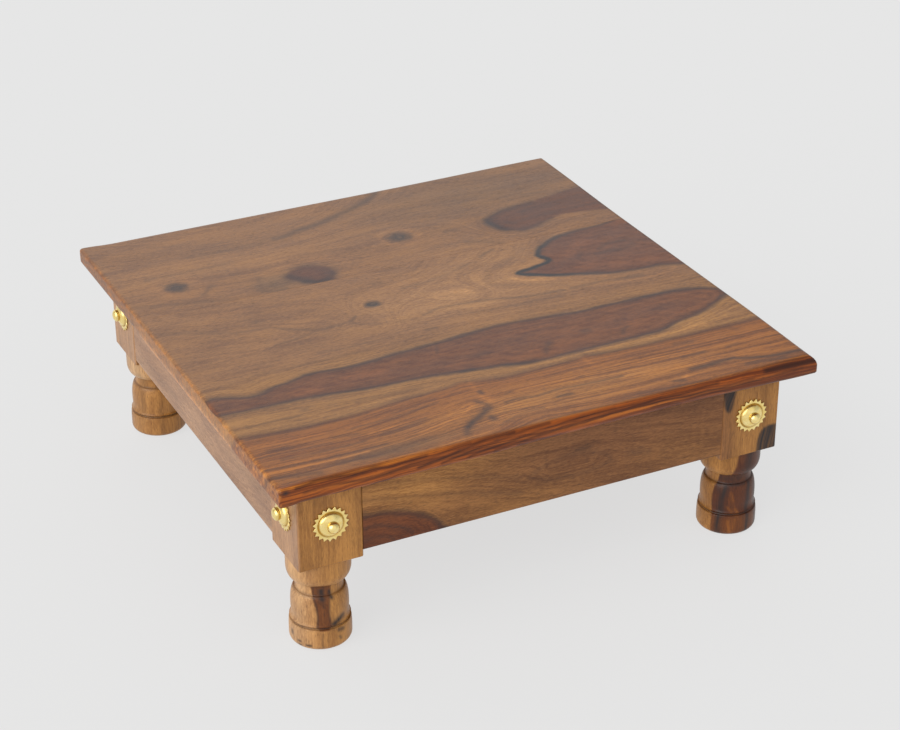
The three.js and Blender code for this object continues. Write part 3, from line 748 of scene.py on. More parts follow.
def wood_finish(name):
    """Satin lacquered rosewood, painted from the fields of the piece.

    Bands, growth lines and fine lines are noises stretched along (along, level, through) and show as
    strongly as the growth field says; threads, flecks and clouds lie straight along the grain. Together
    they shade the tone between a dark and a light tint of itself. Heart patches are tinted where the rim
    distance is positive and softly outlined near nothing, with a little wander; ink and gleam darken and
    lighten; pores are short dark dashes.
    """
    finish = Finish(name, {"IOR": 1.38})
    grain = finish.attribute("grain")
    level, strength, margin = finish.split(finish.attribute("growth"))
    rim, ink, gleam = finish.split(finish.attribute("marks"))
    tone = finish.attribute("tone", "Color")
    fleckiness = finish.calc("MULTIPLY", finish.attribute("tone", "Alpha"), 0.85)
    along, _, through = finish.split(grain)
    rings = finish.joined(along, level, through)
    bands = finish.streaks(rings, (0.004, 0.13, 0.04))
    lines = finish.streaks(rings, (0.009, 0.60, 0.10), detail=4, roughness=0.62)
    fine = finish.streaks(rings, (0.025, 1.9, 0.30), detail=2, roughness=0.6)
    threads = finish.streaks(grain, (0.045, 1.3, 1.3), detail=2, roughness=0.6)
    flecks = finish.streaks(grain, (0.30, 1.3, 1.3), detail=2, roughness=0.6)
    cloud = finish.streaks(grain, (0.020, 0.075, 0.075))
    pores = finish.ramp(finish.streaks(grain, (0.20, 2.2, 2.2), detail=1), 0.60, 0.74)

    growing = finish.swings((bands, 1.0), (lines, 1.3), (fine, 0.8))
    straight = finish.swings((threads, 0.50), (flecks, fleckiness), (cloud, 0.65))
    shade = finish.ramp(finish.calc("MULTIPLY_ADD", growing, strength, straight), -0.45, 0.45)
    dark = finish.tinted(tone, (0.56, 0.48, 0.44))
    light = finish.tinted(tone, (1.46, 1.52, 1.50))
    colour = finish.mixed(shade, dark, light)

    wander = finish.streaks(grain, (0.05, 0.20, 0.20), detail=4, roughness=0.65)
    rim = finish.calc("MULTIPLY_ADD", finish.calc("SUBTRACT", wander, 0.5), 3.5, rim)
    heart = finish.tinted(colour, (0.56, 0.40, 0.40))
    colour = finish.mixed(finish.ramp(rim, -1.0, 1.2), colour, heart)
    off_line = finish.calc("ABSOLUTE", finish.calc("SUBTRACT", rim, 0.8))
    outline = finish.calc("MULTIPLY", finish.ramp(off_line, 4.4, 0.4), margin)
    colour = finish.mixed(finish.calc("MULTIPLY", outline, 0.9), colour, (0.024, 0.017, 0.016))
    ink = finish.calc("MULTIPLY", ink, finish.ramp(lines, 0.32, 0.62, 0.75, 1.1))
    colour = finish.mixed(ink, colour, (0.020, 0.014, 0.014))
    colour = finish.mixed(gleam, colour, finish.tinted(colour, (1.75, 1.75, 1.6)))
    colour = finish.mixed(finish.calc("MULTIPLY", pores, 0.45), colour, (0.02, 0.012, 0.008))
    finish.give("Base Color", colour)

    gloss = finish.calc("MULTIPLY_ADD", cloud, 0.16, 0.28)
    finish.give("Roughness", finish.calc("MULTIPLY_ADD", pores, 0.12, gloss))
    height = finish.calc("MULTIPLY_ADD", pores, -0.8, finish.calc("MULTIPLY", threads, 0.5))
    finish.bumps(height, 0.25, 0.0002)
    return finish.material


def brass_finish():
    """Bright pressed brass: colour and gloss drift slowly, and hollows hold a darker tarnish."""
    finish = Finish("pressed_brass", {"Metallic": 1.0})
    hollow = finish.split(finish.attribute("relief"))[0]
    cloud = finish.noise(finish.coordinates(), scale=260, detail=4, roughness=0.6)
    speck = finish.noise(finish.coordinates(), scale=2600, detail=2)
    bright = finish.mixed(finish.ramp(cloud, 0.3, 0.7), (0.94, 0.70, 0.24), (1.00, 0.83, 0.38))
    dull = finish.tinted(bright, (0.50, 0.40, 0.26))
    amount = finish.calc("MULTIPLY", hollow, finish.ramp(cloud, 0.2, 0.8, 0.5, 1.0))
    finish.give("Base Color", finish.mixed(amount, bright, dull))
    gloss = finish.calc("MULTIPLY_ADD", cloud, 0.16, 0.20)
    finish.give("Roughness", finish.calc("MULTIPLY_ADD", hollow, 0.2, gloss))
    finish.bumps(finish.calc("MULTIPLY_ADD", speck, 0.3, cloud), 0.12, 0.0003)
    return finish.material


def bare_wood_finish():
    """Planed, unlacquered brace wood: fine lines and broad bands that lie level in the brace."""
    finish = Finish("planed_brace_wood", {"IOR": 1.45})
    lines = finish.streaks(finish.coordinates(), (90, 90, 700), detail=4, roughness=0.65)
    bands = finish.streaks(finish.coordinates(), (20, 20, 120), detail=2)
    colour = finish.mixed(finish.ramp(lines, 0.3, 0.7), (0.17, 0.085, 0.035), (0.36, 0.21, 0.10))
    colour = finish.mixed(finish.ramp(bands, 0.35, 0.7, 0.0, 0.5), colour, (0.30, 0.15, 0.06))
    finish.give("Base Color", colour)
    finish.give("Roughness", finish.ramp(lines, 0.2, 0.8, 0.75, 0.55))
    finish.bumps(lines, 0.3, 0.0003)
    return finish.material


def steel_finish():
    """Zinc-grey steel for the screws, a little mottled in colour, gloss and height."""
    finish = Finish("zinc_grey_steel", {"Metallic": 1.0})
    mottle = finish.noise(finish.coordinates(), scale=900, detail=4, roughness=0.6)
    colour = finish.mixed(finish.ramp(mottle, 0.3, 0.7), (0.34, 0.34, 0.35), (0.58, 0.58, 0.57))
    finish.give("Base Color", colour)
    finish.give("Roughness", finish.ramp(mottle, 0.3, 0.7, 0.48, 0.30))
    finish.bumps(mottle, 0.15, 0.0002)
    return finish.material


# Top boards: radii of their roundings, pitch of their points, and steps round an edge, down the outer face,
# down the joint and over an end face

UPPER_ROUND = 5.0
LOWER_ROUND = 3.0
PLAN_CORNER = 8.0
TIP_ROUND = 1.6
BOARD_PITCH = 1.45
ROUND_STEPS = 7
FACE_STEPS = 11
JOINT_STEPS = 4
END_STEPS = 2


def eased_stations(low, high, round_low=True, round_high=True):
    """Places from low to high at an even pitch, drawn together as a sine where an edge is rounded."""
    bunch = UPPER_ROUND * (1 - np.sin(np.linspace(0, QUARTER, ROUND_STEPS + 1)[1:]))
    start = low + UPPER_ROUND if round_low else low
    end = high - UPPER_ROUND if round_high else high
    parts = [np.linspace(start, end, round((end - start) / BOARD_PITCH) + 1)]
    if round_low:
        parts.insert(0, low + bunch[::-1])
    if round_high:
        parts.append(high - bunch)
    return np.concatenate(parts)


def quarter_drop(inset, width, height):
    """Fall of a quarter-round: nothing where the inset reaches the width, all the height at the edge."""
    t = np.clip(1 - inset / width, 0, 1)
    return height * (1 - np.sqrt(1 - t * t))


def upper_round(x, y):
    """Radius of the upper rounding, which was planed by hand.

    It is least on the left and at the back right corner, and most at the front right corner.
    """
    left = 1 - smooth_step(x, -188, -165)
    return UPPER_ROUND - 2.6 * left - 2.6 * smooth_step(x + y, 240, 380) + 2.0 * smooth_step(x - y, 290, 380)


def lower_round(x, y):
    """Width and height of the lower easing: most in the middle of the front edge, least on the left."""
    crisp = (1 - smooth_step(x, -187, -174)) * (1 - smooth_step(y, 40, 75))
    plain = LOWER_ROUND - 2.3 * crisp - 1.4 * smooth_step(x, 150, 180)
    planed = smooth_step(x, -62, -8) * (1 - smooth_step(x, 96, 150)) * (1 - smooth_step(y, -150, -100))
    return plain + 2 * planed, plain + 3 * planed


def board_grid(low, high, joint_at_back):
    """A slab as a tube round x: its loops run over the top, down the outer edge, under and up the joint.

    Plan: a square ring of half width p about the inner core gets corners of a fifth of p: a point t of
    the way round a corner goes to p - r + r(cos, sin). Height: top less a quarter-round of the inset
    from the outline, bottom plus a smaller one. The last loops close each end face on its middle line.
    """
    xs = eased_stations(low[0], high[0])
    outer = eased_stations(low[1], high[1], joint_at_back, not joint_at_back)
    if joint_at_back:
        outer = outer[::-1]
    wall = np.linspace(0, 1, FACE_STEPS + 1)[1:-1]
    joint_wall = np.linspace(0, 1, JOINT_STEPS + 1)[1:-1]
    face_y, joint_y = np.full(len(wall), outer[-1]), np.full(len(joint_wall), outer[0])
    y = np.concatenate([outer, face_y, outer[::-1], joint_y])
    up = np.concatenate([np.ones(len(outer)), 1 - wall, np.zeros(len(outer)), joint_wall])
    closing = np.linspace(1, 0, END_STEPS, endpoint=False)
    x = np.concatenate([np.full(END_STEPS, xs[0]), xs, np.full(END_STEPS, xs[-1])])
    pinch = np.concatenate([closing, np.zeros(len(xs)), closing[::-1]])
    x, y = np.meshgrid(x, y, indexing="ij")
    up, pinch = np.meshgrid(up, pinch)
    core_low = np.array([low[0] + PLAN_CORNER, low[1] + PLAN_CORNER if joint_at_back else low[1]])
    core_high = np.array([high[0] - PLAN_CORNER, high[1] if joint_at_back else high[1] - PLAN_CORNER])
    cx, cy = np.clip(x, core_low[0], core_high[0]), np.clip(y, core_low[1], core_high[1])
    ox, oy = x - cx, y - cy
    ring, near = np.maximum(np.abs(ox), np.abs(oy)), np.minimum(np.abs(ox), np.abs(oy))
    tip = np.maximum(ring * TIP_ROUND / PLAN_CORNER, 1e-9)
    turn = np.clip((near - ring + tip) / tip, 0, 1) * QUARTER / 2
    far = ring - tip * (1 - np.cos(turn))
    near = np.where(turn > 0, ring - tip * (1 - np.sin(turn)), near)
    sideways = np.abs(ox) >= np.abs(oy)
    x = cx + np.sign(ox) * np.where(sideways, far, near)
    y = cy + np.sign(oy) * np.where(sideways, near, far)
    inset = PLAN_CORNER - ring
    radius = upper_round(x, y)
    upper = high[2] - quarter_drop(inset, radius, radius)
    lower = low[2] + quarter_drop(inset, *lower_round(x, y))
    z = lower + (upper - lower) * up
    z = z + ((low[2] + high[2]) / 2 - z) * pinch
    return np.stack([x, y, z], -1)


def paint_end_faces(wood, points, high):
    """Turns a board's wood to end grain on its left and right faces: spotted, without heart patches, and
    rosier by a painted sheen, the pinkish reflection on the lit left end.

    Behind the front zone the dark spots are smoky and the lower arris gleams; in the zone they are burnt.
    """
    y, depth = points[..., 1], high[2] - points[..., 2]
    end_face = smooth_step(np.abs(points[..., 0]), high[0] - 2.0, high[0] - 0.3)
    behind_zone = smooth_step(y, -128, -104)
    arris = end_face * smooth_step(depth, 10.8, 11.8) * behind_zone * (1 - smooth_step(y, 50, 84))
    spots = ripple(y, 2 * depth, 9, 61) + 0.5 * ripple(y, depth, 3, 62)
    wood["tone"] = painted(
        wood["tone"],
        (OCHRE, 0.35 * end_face * (1 - smooth_step(depth, 5, 9))),
        # painted rosy sheen on the end faces, stronger low down and behind the front zone
        (ROSY_SHEEN, end_face * (0.05 + 0.40 * smooth_step(depth, 6, 10)) * (0.25 + 0.75 * behind_zone)),
        (UMBER, 0.85 * end_face * smooth_step(y, 55, 105)),
        (AMBER, 0.45 * end_face * smooth_step(spots, 0.1, 0.8)),
        (UMBER, 0.60 * end_face * behind_zone * smooth_step(-spots, 0.1, 0.8)),
        (BURNT, 0.70 * end_face * (1 - behind_zone) * smooth_step(-spots, 0.0, 0.6)),
    )
    wood["lines"] = wood["lines"] * (1 - 0.35 * end_face)
    wood["rim"] = wood["rim"] - 16 * end_face * smooth_step(depth, 1.0, 3.0)
    wood["gleam"] = np.maximum(wood["gleam"], 0.9 * arris)


def make_boards():
    """Both boards of the top, each with its drawn figure."""
    for node, joint_at_back, drawn, slot in (
        ("top_board_front", True, front_board_wood, "top_front_wood"),
        ("top_board_back", False, back_board_wood, "top_back_wood"),
    ):
        low, high = node_box(node)
        grid = board_grid(low, high, joint_at_back)
        wood = drawn(grid, high[2])
        paint_end_faces(wood, grid, high)
        dress(node, "_wood", grid, wood_fields(grid, **wood), wood_finish(node + "_lacquered"))


# Aprons

APRON_ARRIS = 0.8
ARRIS_STEPS = 3
APRON_PITCH = 1.6
APRON_ACROSS = 8
APRON_LEAN = 0.7
GLUE_GAP = 0.1
APRON_BLANKS_APART = 900.0
APRON_PATCH = [
    (-150, 95), (-131, 94), (-118, 93), (-105, 90), (-92, 85), (-82, 79), (-76, 72), (-73, 60),
    (-150, 60),
]
APRON_GROWTH = [
    (0, APRON_PATCH[:8]),
    (-9, [(-150, 84), (-125, 83), (-108, 79), (-98, 73), (-93, 62)]),
    (9, [(-150, 106), (-125, 103), (-95, 98), (-60, 90), (-20, 79), (10, 70), (25, 60)]),
    (18, [(-150, 117), (-100, 111), (-60, 102), (-25, 92), (-8, 84), (15, 79), (40, 77), (70, 72),
          (100, 62)]),
    (26, [(-100, 122), (-60, 114), (-25, 104), (5, 102), (35, 101), (60, 93), (95, 84), (140, 76)]),
    (27, [(0, 92), (15, 95), (30, 92)]),
    (33, [(-70, 124), (-20, 113), (30, 110), (80, 101), (140, 90)]),
    (42, [(20, 124), (70, 114), (140, 104)]),
    (50, [(90, 124), (140, 116)]),
]
APRON_INK = [
    (0.40, 1.4, [(-131, 84), (-116, 83), (-104, 78), (-96, 72)]),
    (0.30, 1.4, [(-131, 76), (-116, 75), (-108, 70)]),
    (0.18, 1.6, [(-130, 104), (-95, 98), (-60, 91), (-20, 80)]),
    (0.16, 1.4, [(-110, 112), (-60, 103), (-20, 92)]),
    (0.25, 2.0, [(20, 101), (30, 101)]),
    (0.22, 2.2, [(60, 90), (75, 86)]),
    (0.16, 1.6, [(-15, 90), (0, 97), (20, 99), (40, 94), (45, 88), (30, 84), (5, 84), (-15, 90)]),
]


def apron_grid(low, high):
    """An apron as a tube round x with eased arrises; at both ends the last loops draw in and close it."""
    arris = APRON_ARRIS
    ys = np.linspace(low[1] + arris, high[1] - arris, APRON_ACROSS)
    zs = np.linspace(low[2] + arris, high[2] - arris, round((high[2] - low[2]) / APRON_PITCH))
    turn = np.linspace(0, QUARTER, ARRIS_STEPS + 1)[1:-1]
    out_y = np.concatenate([
        ys, ys[-1] + arris * np.sin(turn), np.full(len(zs), high[1]), ys[-1] + arris * np.cos(turn),
        ys[::-1], ys[0] - arris * np.sin(turn), np.full(len(zs), low[1]), ys[0] - arris * np.cos(turn),
    ])
    out_z = np.concatenate([
        np.full(len(ys), low[2]), zs[0] - arris * np.cos(turn), zs, zs[-1] + arris * np.sin(turn),
        np.full(len(ys), high[2]), zs[-1] + arris * np.cos(turn), zs[::-1], zs[0] - arris * np.sin(turn),
    ])
    x = np.linspace(low[0], high[0], round((high[0] - low[0]) / APRON_PITCH))
    shrink = np.concatenate([[0.0, 0.5], np.ones(len(x)), [0.5, 0.0]])
    x = np.concatenate([[low[0]] * 2, x, [high[0]] * 2])
    mid_y, mid_z = (low[1] + high[1]) / 2, (low[2] + high[2]) / 2
    return np.stack([
        np.broadcast_to(x[:, None], (len(x), len(out_y))),
        mid_y + (out_y - mid_y)[None, :] * shrink[:, None],
        mid_z + (out_z - mid_z)[None, :] * shrink[:, None],
    ], -1)


def apron_drawing(grid, seed):
    """Where the drawing of an apron is read, as x and z: it leans by 0.7 of the depth behind the face."""
    depth = grid[..., 1] - grid[..., 1].min()
    return wandering(grid[..., 0], grid[..., 2] - APRON_LEAN * depth, 0.4, seed)


def front_apron_wood(grid):
    """The front apron's drawn figure: a dark cathedral low on the left, grain that falls to the right."""
    x, z = apron_drawing(grid, 41)
    rim = depth_inside(APRON_PATCH, x, z)
    tone = painted(
        UMBER,
        (OCHRE, 0.85 * blot((-95, 112), (60, 26), x, z)),
        (GOLDEN, 0.5 * blot((-30, 72), (60, 16), x, z)),
        (GOLDEN, 0.35 * blot((110, 78), (50, 20), x, z)),
        (OCHRE, 0.2 * smooth_step(rim, 0, 3)),
        (EMBER, 0.2 * smooth_step(rim, 0, 3)),
    )
    return {
        "level": growth_surface(APRON_GROWTH, x, z), "tone": tone, "rim": rim,
        "ink": 1.4 * strokes(APRON_INK, x, z), "lines": 0.62, "outline": 0.55,
    }


def plain_apron_wood(grid, base, seed):
    """Quieter aprons: nearly level growth that sways with long ripples, and broad warm and dark bands."""
    x, z = apron_drawing(grid, seed)
    tone = painted(base, (UMBER, 0.25 + 0.25 * ripple(x / 4, z, 40, seed + 3).clip(-1, 1)))
    ink = 0.15 * smooth_step(ripple(x / 12, z, 16, seed + 4), 0.45, 0.9)
    level = z + 9 * ripple(x / 3, z / 2, 60, seed) + x * 0.06
    return {"level": level, "tone": tone, "ink": ink, "lines": 0.35}


def make_aprons():
    """Four aprons, made at the front and turned into place; they end at the blocks, without their tenons."""
    finish = wood_finish("apron_lacquered")
    low, high = node_box("apron_front")
    _, block_high = node_box("leg_front_left")
    high[0] = -block_high[0] - GLUE_GAP
    low[0] = -high[0]
    grid = apron_grid(low, high)
    for index, side in enumerate(SIDES):
        if side == "front":
            wood = front_apron_wood(grid)
        else:
            # the left apron's base colour is a painted rosy sheen, the pinkish reflection on its lit face
            wood = plain_apron_wood(grid, ROSY_SHEEN if side == "left" else GOLDEN, 50 + 10 * index)
        fields = wood_fields(grid + np.array([APRON_BLANKS_APART * index, 0, 0]), **wood)
        dress("apron_" + side, "_wood", turned_about_z(grid, index), fields, finish)


# Legs

BLOCK_BEVEL = 0.8
BLOCK_FLAT = 9.0
TURNED_HEIGHT = 64.5
PROFILE_STEP = 0.75
SIDE_COLUMNS = 44
LEG_BLANKS_APART = 700.0


def arc(centre, radii, start, end, steps):
    """Points (radius, height) on an elliptical arc, without its start."""
    angles = np.linspace(start, end, steps + 1)[1:]
    return [(centre[0] + radii[0] * math.cos(a), centre[1] + radii[1] * math.sin(a)) for a in angles]


def foot_profile():
    """The turned foot from the floor up: tread, foot ring, groove, lip, vase, collar and bowl."""
    return [
        (0, 0), (8, 0), (15.4, 0), (16.2, 0),
        *arc((16.2, 4), (4, 4), -QUARTER, 0, 6),
        (20.2, 6), (20.2, 8), (20.2, 10), (20.15, 12), (20.0, 14), (19.9, 15.0), (19.7, 15.45), (19.3, 15.6),
        (18.8, 15.75), (18.55, 16.4), (18.75, 17.0), (19.3, 17.2),
        (19.6, 17.45),
        *arc((19.6, 20.8), (1.2, 3.4), -QUARTER, -2 * QUARTER, 6),
        (18.45, 22.5), (18.6, 24.5), (18.6, 26),
        *arc((16, 27.2), (2.6, 11.6), 0, QUARTER * 0.94, 10),
        (15.7, 38.85), (15.5, 39.1),
        (15.25, 40.5), (15.15, 42.5), (15.25, 44.8), (15.45, 46.0), (15.85, 46.25),
        *arc((16.2, 54.8), (4.6, 8.6), -QUARTER * 0.97, 0, 10),
        (20.8, 56.5), (20.8, 58.5), (20.8, 60.5), (20.78, 62.5), (20.7, 64.2), (20.7, 64.5),
    ]


def finer(profile):
    """The same profile with extra points on its straight stretches, no further apart than the step."""
    points = [profile[0]]
    for (r0, z0), (r1, z1) in zip(profile[:-1], profile[1:]):
        parts = max(1, math.ceil(math.dist((r0, z0), (r1, z1)) / PROFILE_STEP))
        points += [(r0 + (r1 - r0) * k / parts, z0 + (z1 - z0) * k / parts) for k in range(1, parts + 1)]
    return points


def block_outline(half):
    """The head block's plan round its middle: small bevels, and a wide flat on the corner at (+, +)."""
    near, far = half - BLOCK_FLAT / math.sqrt(2), half - BLOCK_BEVEL
    corners = np.array([
        (-far, -half), (far, -half), (half, -far), (half, near), (near, half), (-far, half),
        (-half, far), (-half, -far),
    ])
    counts = [SIDE_COLUMNS, 2, SIDE_COLUMNS, 6, SIDE_COLUMNS, 2, SIDE_COLUMNS, 2]
    return np.concatenate([
        start + np.linspace(0, 1, count, endpoint=False)[:, None] * (end - start)
        for start, end, count in zip(corners, np.roll(corners, -1, axis=0), counts)
    ])


def leg_grid(height, half):
    """One closed surface: circles of the turned profile up to the seat, then the square block's plan.

    Every row uses the same directions, those of the block's plan; a row is a circle of the profile's
    radius, the plan itself, or a point between the two on the flat seat and on the top.
    """
    plan = block_outline(half)
    ways = plan / np.hypot(plan[:, 0], plan[:, 1])[:, None]
    rows = [(radius * ways, z) for radius, z in finer(foot_profile())]
    rim = rows[-1][0]
    bevelled = plan * (1 - BLOCK_BEVEL * 0.6 / half)
    rows += [(rim + (bevelled - rim) * t, TURNED_HEIGHT) for t in (0.5, 1.0)]
    heights = [TURNED_HEIGHT + 0.5, *np.arange(TURNED_HEIGHT + 1.5, height - 1, 1.0), height - 0.3]
    rows += [(plan, z) for z in heights]
    rows += [(plan * shrink, height) for shrink in (0.985, 0.5, 0.0)]
    return np.stack([np.column_stack([row, np.full(len(row), z)]) for row, z in rows])


# Each leg's blank: where its pith lies from the leg's middle, how golden it is, how strongly a painted
# highlight pales its left side at the bowl and below it, and how strongly a painted rosy sheen covers the
# left face of its block
LEG_BLANKS = [
    ((46, 62), 0.10, (0.5, 0.5), 0.75),
    ((70, -40), 0.45, (0.0, 0.0), 0.0),
    ((-60, 50), 0.25, (0.3, 0.3), 0.0),
    ((55, 75), 0.55, (0.8, 0.15), 0.75),
]
BOWL_BOTTOM = 46
# Turned grooves darkened with painted shade, as (strength, height, width)
GROOVES = [(0.70, 16.4, 0.8), (0.42, 38.9, 1.0), (0.35, 46.2, 0.7)]
# Radius on which marks round a leg are drawn, and the directions of the camera and of the side that the
# key light reaches, where a highlight is painted
MARK_RADIUS = 20
CAMERA_SIDE = -116
LIT_SIDE = -165

# Marks on the front left leg as (arc length round it from the side that faces the camera, height)
STREAK = [
    (-4.8, 48), (9.8, 48), (10.4, 41), (8.3, 36), (7.8, 30), (8.3, 24), (8.8, 16), (-0.7, 16),
    (-0.7, 24), (-0.7, 30), (-2.8, 35), (-4.8, 41),
]
LEG_INK = [
    (0.90, 2.4, [(2.8, 42), (3.2, 37.5)]),
    (0.85, 2.0, [(9.4, 41), (10.3, 37.5)]),
    (0.50, 1.0, [(-3.2, 47), (-3.7, 40), (-1.7, 35), (-0.7, 30), (-0.7, 17)]),
    (0.50, 0.9, [(8.3, 36), (7.8, 30), (8.2, 24), (8.8, 17)]),
    (0.50, 1.1, [(4.3, 47), (3.8, 38), (4, 32)]),
    (0.90, 2.3, [(10, 17.8), (14, 19.6), (18.5, 21.6)]),
    (0.80, 1.7, [(-20.7, 10), (-20.5, 8.5)]),
    (0.80, 0.7, [(-14.5, 5.6), (-12.5, 5.6)]),
    (0.75, 0.7, [(-14, 3.2), (-12.4, 3.2)]),
    (0.85, 0.9, [(-8.4, 4), (-5.6, 4)]),
    (0.55, 0.5, [(2.6, 13.5), (2.8, 2.5)]),
    (0.30, 0.5, [(6, 13), (6, 7)]),
    (0.55, 0.9, [(13.5, 9), (14.5, 7)]),
    (0.70, 1.8, [(14, 14), (17, 13.2)]),
]

# Dark wood of the front right leg: where it starts round the leg at each height, and its black bands, of
# which the one at height 38.6 is painted shade in the groove under the collar
DARK_START = [
    (-13, 0), (-13.5, 17), (-14.5, 24), (-14.5, 30), (-13, 36), (-11.5, 42), (-10, 46.2), (-0.5, 47.5),
    (2.5, 56), (4, 70),
]
DARK_BANDS = [
    (0.85, 2.6, [(-8, 1), (-8, 12), (-7, 17), (-6.5, 28), (-4, 37)]),
    (0.85, 1.9, [(13, 1), (13.5, 20), (14.5, 30), (16, 38)]),
    (0.70, 3.6, [(11, 47), (11, 58), (12, 66)]),
    (0.60, 2.0, [(3, 40), (3, 45)]),
    (0.50, 2.4, [(-9, 42.5), (0, 42.5), (10, 42.5)]),
    (0.50, 3.0, [(-8, 35), (-5, 31)]),
    # painted shade in the groove under the collar
    (0.80, 1.0, [(-11, 38.6), (0, 38.6), (12, 38.6)]),
    (0.60, 2.4, [(24, 4), (24, 34)]),
]
DARK_GLINTS = [
    (0.80, 0.9, [(-1, 12), (0, 3)]),
    (0.60, 1.0, [(-2, 22), (1, 18)]),
    (0.65, 0.9, [(4, 20), (6, 17)]),
    (0.60, 0.8, [(3.5, 13), (2.5, 6)]),
    (0.45, 1.2, [(0, 33), (2, 27)]),
    (0.50, 1.0, [(19, 12), (20, 4)]),
]
POST_WEDGE = [(130.5, 124), (140, 124), (138.5, 112), (136, 101), (133, 101), (130.8, 108)]
POST_PATCH = [
    (158.5, 54), (158.5, 66), (159, 74), (161.5, 80), (166, 82.5), (174, 82.5), (182, 81), (182, 54),
]


def around(points, middle, facing):
    """Signed arc length round a leg from a facing direction in degrees, on the radius of the marks."""
    turn = np.arctan2(points[..., 1] - middle[1], points[..., 0] - middle[0]) - math.radians(facing)
    return MARK_RADIUS * (np.mod(turn + math.pi, 2 * math.pi) - math.pi)


def leg_wood(index, points, middle):
    """Growth rings round a pith beside the leg; marks are drawn round the leg, as arc length and height.

    Painted shade darkens the turned grooves, as a bell of the height about each one. The turned part gets a
    painted highlight on the side that the key light reaches, and a left leg's block a painted rosy sheen on
    its left face.
    """
    x, y, z = points[..., 0] - middle[0], points[..., 1] - middle[1], points[..., 2]
    pith, golden, pale, rosy = LEG_BLANKS[index]
    sway = 2.5 * ripple(z, x, 60, 70 + index)
    level = np.hypot(x - pith[0] + sway, y - pith[1] + 0.06 * z)
    along, high = wandering(around(points, middle, CAMERA_SIDE), z, 0.25, 80 + index)
    post = smooth_step(z, TURNED_HEIGHT - 0.4, TURNED_HEIGHT + 0.4)
    # painted highlight: a bell round the side that faces the key light, on the turned part only
    painted_highlight = np.exp(-((around(points, middle, LIT_SIDE) / 15) ** 2)) * (1 - post)
    left_face = (1 - smooth_step(x, -21.5, -20.5)) * post
    tone = painted(
        OCHRE,
        (GOLDEN, golden + 0.22 * ripple(x, y, 26, 90 + index).clip(-1, 1)),
        (GOLDEN, 0.15 * post),
        # painted highlight on the lit left side of the turned part
        (LIT_HIGHLIGHT, painted_highlight * np.where(z > BOWL_BOTTOM, *pale)),
        # painted rosy sheen on the left face of a left leg's block
        (ROSY_SHEEN, rosy * left_face),
    )
    # painted shade in the turned grooves, where shade falls
    groove_shade = sum(
        strength * np.exp(-(((z - height) / width) ** 2)) for strength, height, width in GROOVES
    )
    ink = 0.18 * smooth_step(ripple(along, high / 8, 13, 100 + index), 0.5, 1.0)
    if index == 0:
        streak = smooth_step(depth_inside(STREAK, along, high), -0.7, 0.7) * (1 - post)
        tone = painted(tone, (CHESTNUT, 0.9 * streak), (HEARTWOOD, 0.3 * streak))
        ink = strokes(LEG_INK, along, high) * (1 - post)
    elif index == 1:
        turned = 1 - smooth_step(z, TURNED_HEIGHT - 0.5, TURNED_HEIGHT)
        start, heights = np.array(DARK_START).T
        dark = smooth_step(along - np.interp(high, heights, start), -0.9, 0.9) * turned
        front = (1 - smooth_step(points[..., 1], -172, -168)) * post
        tone = painted(
            tone,
            (HEARTWOOD, 0.97 * dark),
            (RUSSET, 0.12 * dark * smooth_step(ripple(along, high / 4, 8, 8), 0.1, 0.8)),
            (RUSSET, 0.25 * dark * (1 - smooth_step(z, 12, 18))),
            (RUSSET, 0.6 * strokes(DARK_GLINTS, along, high) * dark),
            (UMBER, 0.75 * front * (1 - smooth_step(points[..., 0], 132, 146))),
        )
        wedge, patch = (depth_inside(outline, points[..., 0], z) for outline in (POST_WEDGE, POST_PATCH))
        black = 0.92 * smooth_step(np.maximum(wedge, patch), -1.5, 1) * front
        ink = np.maximum(strokes(DARK_BANDS, along, high) * dark, black)
    return {"level": level, "tone": tone, "ink": np.maximum(ink, groove_shade), "lines": 0.32, "flecked": 0.53}


def make_legs():
    """Four legs from one grid, turned so that the brace's flat faces the table's middle."""
    low, high = node_box("leg_front_left")
    middle = np.append((low + high)[:2] / 2, 0.0)
    shape = leg_grid(high[2], (high[0] - low[0]) / 2)
    for index, corner in enumerate(CORNERS):
        grid = turned_about_z(shape + middle, index)
        wood = leg_wood(index, grid, turned_about_z(middle, index))
        grain = np.stack([grid[..., 2] + LEG_BLANKS_APART * index, grid[..., 0], grid[..., 1]], -1)
        node = "leg_" + corner
        dress(node, "_wood", grid, wood_fields(grain, **wood), wood_finish(node + "_lacquered"))


# Brass rosettes and nails

TEETH = 19
TOOTH_COLUMNS = 8
TOOTH_DEPTH = 1.9
TOOTH_SHARPNESS = 1.15
ROSETTE_RADIUS = 12.1
TEETH_START = 10.15
DOME_RADIUS = 8.4
DOME_RISE = 3.4
PLATE = 0.8
BORE_RADIUS = 1.5
NAIL_HEAD = (4.0, 3.6)
LEFT_NAIL_HEAD = (4.4, 2.7)
NAIL_COLUMNS = 40
SHANK_RADIUS = 1.1


def ring_points(radius, height, angle):
    """Points on rings about z, with radius and height given for each row, or for each row and column."""
    return np.stack(np.broadcast_arrays(radius * np.cos(angle), radius * np.sin(angle), height), -1)


def relief(hollow):
    """The field that the brass finish reads: how deep in a hollow each point lies, from 0 to 1."""
    return {"relief": np.repeat(hollow[..., None], 3, -1)}


def rosette_front(radius):
    """Height of the pressed front over its back, out to the ring: a steep cap on the plate less a groove.

    The cap is rise (1 - (radius / dome radius)^2)^0.7; the groove is a bell of the radius.
    """
    cap = DOME_RISE * max(0.0, 1 - (radius / DOME_RADIUS) ** 2) ** 0.7
    groove = 0.5 * math.exp(-(((radius - DOME_RADIUS) / 0.5) ** 2))
    return PLATE + cap - groove


